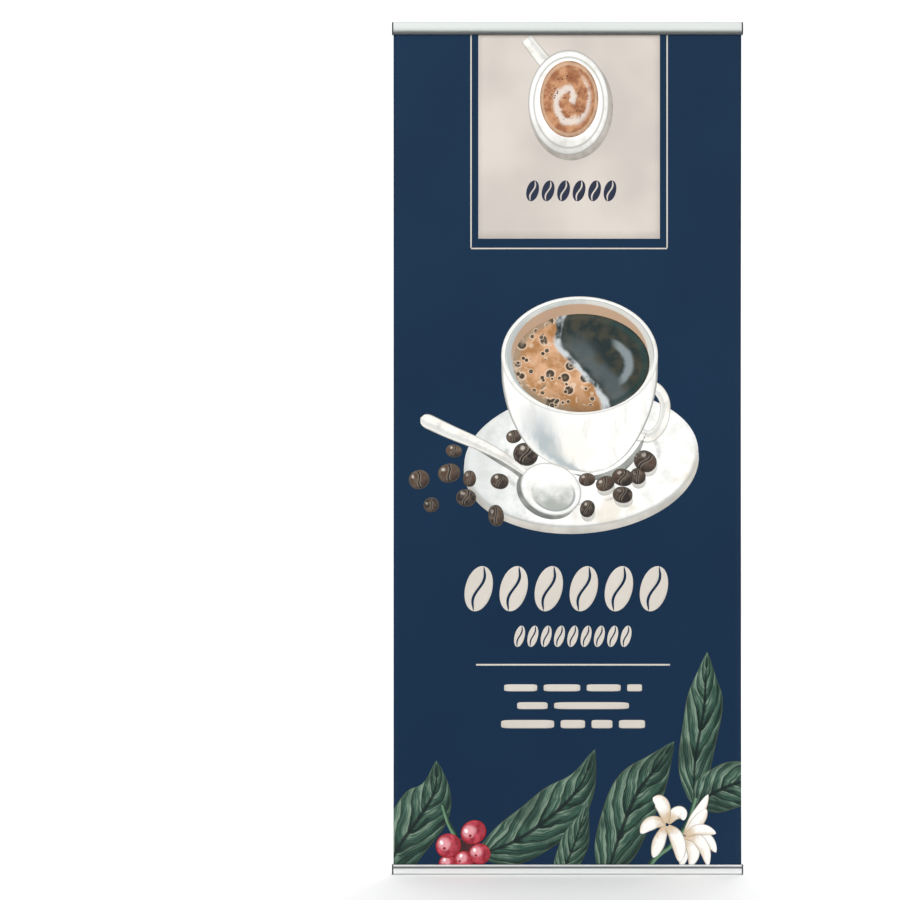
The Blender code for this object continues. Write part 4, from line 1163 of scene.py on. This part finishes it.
# %% The line that the pole follows
POST_Y = 0.3255  # where the post stands, behind the film
POST_TOP = 0.1495
TIP_Z = 1.9341
REACH = 0.299  # from the post forward to the fork
LEAN = 0.060  # slope just above the post
EASE = 0.020  # height over which the lean begins


def eased(z):
    rise = z - POST_TOP
    return (rise + math.hypot(rise, EASE)) / 2


BOW = (REACH - LEAN * eased(TIP_Z)) / eased(TIP_Z) ** 2


def pole_at(z):
    return Vector((0, POST_Y - eased(z) * (LEAN + BOW * eased(z)), z))


def pole_tilt(z):
    """Turns a flat circle square to the pole's line."""
    along = pole_at(z + MM) - pole_at(z - MM)
    return along.to_track_quat("Z", "X").to_matrix().to_4x4()


worst = 0.0
for name in ("pole_lower_tube", "pole_middle_tube", "pole_upper_tube"):
    low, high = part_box(name)
    middle = pole_at(high.z - 8 * MM).y
    ring = [v.co.y for v in nodes[name].data.vertices if abs(v.co.z - high.z) < 2 * MM]
    worst = max(worst, abs((min(ring) + max(ring)) / 2 - middle))
print(f"the line runs within {worst / MM:.1f} mm of the working tubes' ends")

# %% [markdown]
# A ring is drawn at the foot of each tube and carried up the line. The ends are drawn in a little, which
# gives each joint its thin bright edge.

# %% Draw the tubes
TUBE_RADIUS = 7.5 * MM
TUBE_WALL = 1.0 * MM
TUBE_SIDES = 48
TUBE_EDGE = 0.35 * MM  # the small rounding at a tube's ends


def extruded_ring(bm, edges, move):
    """Extrudes a ring of edges and moves the new ring with a matrix. Returns the new ring."""
    made = bmesh.ops.extrude_edge_only(bm, edges=edges)["geom"]
    corners = [part for part in made if isinstance(part, bmesh.types.BMVert)]
    bmesh.ops.transform(bm, matrix=move, verts=corners)
    return [part for part in made if isinstance(part, bmesh.types.BMEdge)]


def ring_frame(z, radius):
    return Matrix.Translation(pole_at(z)) @ pole_tilt(z) @ Matrix.Scale(radius, 4)


def pipe(bm, low, high, radius, rings):
    """The pipe's outside, from low to high along the pole, with its two ends drawn in a little."""
    steps = [(low, radius - TUBE_EDGE), (low + TUBE_EDGE, radius)]
    steps += [(low + (high - low) * i / rings, radius) for i in range(1, rings)]
    steps += [(high - TUBE_EDGE, radius), (high, radius - TUBE_EDGE)]
    made = bmesh.ops.create_circle(bm, segments=TUBE_SIDES, radius=1.0)["verts"]
    here = ring_frame(*steps[0])
    bmesh.ops.transform(bm, matrix=here, verts=made)
    edges = touching(made, "link_edges")
    for step in steps[1:]:
        there = ring_frame(*step)
        edges = extruded_ring(bm, edges, there @ here.inverted())
        here = there


def hard_edges(bm, angle=CORNER):
    """Marks the real corners sharp, so that the rest is shaded smooth."""
    for edge in bm.edges:
        edge.smooth = edge.calc_face_angle(0.0) < angle


def hardware(name, bm, recipe, body, slot, *replaced):
    hard_edges(bm)
    piece = finished(name, bm, recipe)
    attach(piece, body)
    if replaced:
        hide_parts(*replaced)
    return piece


for name in ("lower", "middle", "upper"):
    low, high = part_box(f"pole_{name}_tube")
    tilt = TUBE_RADIUS * abs(pole_tilt(high.z)[1][2])
    bm = bmesh.new()
    pipe(bm, low.z + TUBE_RADIUS * abs(pole_tilt(low.z)[1][2]), high.z - tilt, TUBE_RADIUS, 30)
    bmesh.ops.recalc_face_normals(bm, faces=bm.faces)
    bmesh.ops.solidify(bm, geom=bm.faces[:], thickness=TUBE_WALL)
    bmesh.ops.recalc_face_normals(bm, faces=bm.faces)
    tube = hardware(f"pole_{name}_pipe", bm, tube_metal, "pole", "silver_tube", f"pole_{name}_tube")
    print(tube.name, len(tube.data.polygons), "faces")

# %% [markdown]
# ## Screws
#
# The bracket and the fork are held by small pan-head screws with a cross recess, and the foot turns on a
# button-head bolt with a hexagon socket. An outline is spun round its axis. A plus sign made from a grid,
# or a circle of six sides, is bridged to the open ring on top and pushed in.

# %% Spin a screw, then press its recess
SPIN_STEPS = 24


def spun(bm, outline):
    """Spins an outline of (radius, height) points round Z. Returns the ring of edges at its last point."""
    corners = [bm.verts.new((radius, 0, height)) for radius, height in outline]
    edges = [bm.edges.new(pair) for pair in zip(corners, corners[1:])]
    turn = {"axis": (0, 0, 1), "cent": (0, 0, 0), "angle": 2 * math.pi, "steps": SPIN_STEPS}
    bmesh.ops.spin(bm, geom=corners + edges, use_merge=True, **turn)
    bmesh.ops.remove_doubles(bm, verts=bm.verts, dist=0.000001)
    top = outline[-1][1]
    return [edge for edge in bm.edges if edge.is_boundary and abs(edge.verts[0].co.z - top) < 0.000001]


def plus_sign(bm, radius, height):
    """A flat cross for a recess: a grid of nine squares without its corners."""
    arm, half_slot = radius * 0.52, radius * 0.11
    made = bmesh.ops.create_grid(bm, x_segments=3, y_segments=3, size=1.5)["verts"]
    faces = touching(made, "link_faces")
    corners = [face for face in faces if all(abs(c) > 0.5 for c in face.calc_center_median().xy)]
    bmesh.ops.delete(bm, geom=corners, context="FACES")
    kept = [vert for vert in made if vert.is_valid]
    for vert in kept:
        x, y = (math.copysign(arm if abs(c) > 1 else half_slot, c) for c in vert.co.xy)
        vert.co = (x, y, height)
    return touching(kept, "link_faces")


def six_sides(bm, radius, height):
    """A flat hexagon, for a socket that takes a key."""
    made = bmesh.ops.create_circle(bm, cap_ends=True, segments=6, radius=radius * 0.5)["verts"]
    bmesh.ops.translate(bm, verts=made, vec=(0, 0, height))
    return touching(made, "link_faces")


def press_recess(bm, ring, floor, depth):
    """Joins the ring to the recess's outline, and pushes the recess in."""
    rim = [edge for face in floor for edge in face.edges if edge.is_boundary]
    bmesh.ops.bridge_loops(bm, edges=ring + rim)
    sunk = bmesh.ops.extrude_face_region(bm, geom=floor)["geom"]
    bmesh.ops.delete(bm, geom=[face for face in floor if face.is_valid], context="FACES_ONLY")
    down = [part for part in sunk if isinstance(part, bmesh.types.BMVert)]
    bmesh.ops.translate(bm, verts=down, vec=(0, 0, -depth))


def screw(name, node, axis, head, shank, recess, finish):
    """A screw in place of a working one. head is its radius and height, and axis the way it points."""
    low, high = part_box(node)
    middle = (low + high) / 2
    length = abs((high - low).dot(Vector(axis)))
    radius, height = head
    under = height - length
    outline = [(0, under), (shank * 0.75, under), (shank, under + shank * 0.5), (shank, 0)]
    outline += [(radius * 0.96, 0), (radius, height * 0.12), (radius, height * 0.40)]
    outline += [(radius * 0.93, height * 0.68), (radius * 0.78, height * 0.90), (radius * 0.66, height)]
    bm = bmesh.new()
    ring = spun(bm, outline)
    floor = recess(bm, radius, height)
    press_recess(bm, ring, floor, height * 0.55)
    bmesh.ops.recalc_face_normals(bm, faces=bm.faces)
    turn = Vector(axis).to_track_quat("Z", "Y").to_matrix().to_4x4()
    tip = Vector(axis) * (length / 2 - height)
    bmesh.ops.transform(bm, matrix=Matrix.Translation(middle + tip) @ turn, verts=bm.verts)
    return hardware(name, bm, finish, "base", "steel", node)


pan = (3.2 * MM, 2.2 * MM)
for place, count in (("bracket", 4), ("fork", 2)):
    working = "foot_bracket_screw" if place == "bracket" else "pole_fork_screw"
    for i in range(1, count + 1):
        name = f"{place}_cross_screw_{i}"
        screw(name, f"{working}_{i}", (0, 1, 0), pan, 1.6 * MM, plus_sign, steel)
button = (5.2 * MM, 3.6 * MM)
screw("pivot_socket_bolt", "pivot_bolt", (0, 0, 1), button, 3.0 * MM, six_sides, steel)
print("six cross screws and the pivot bolt made")
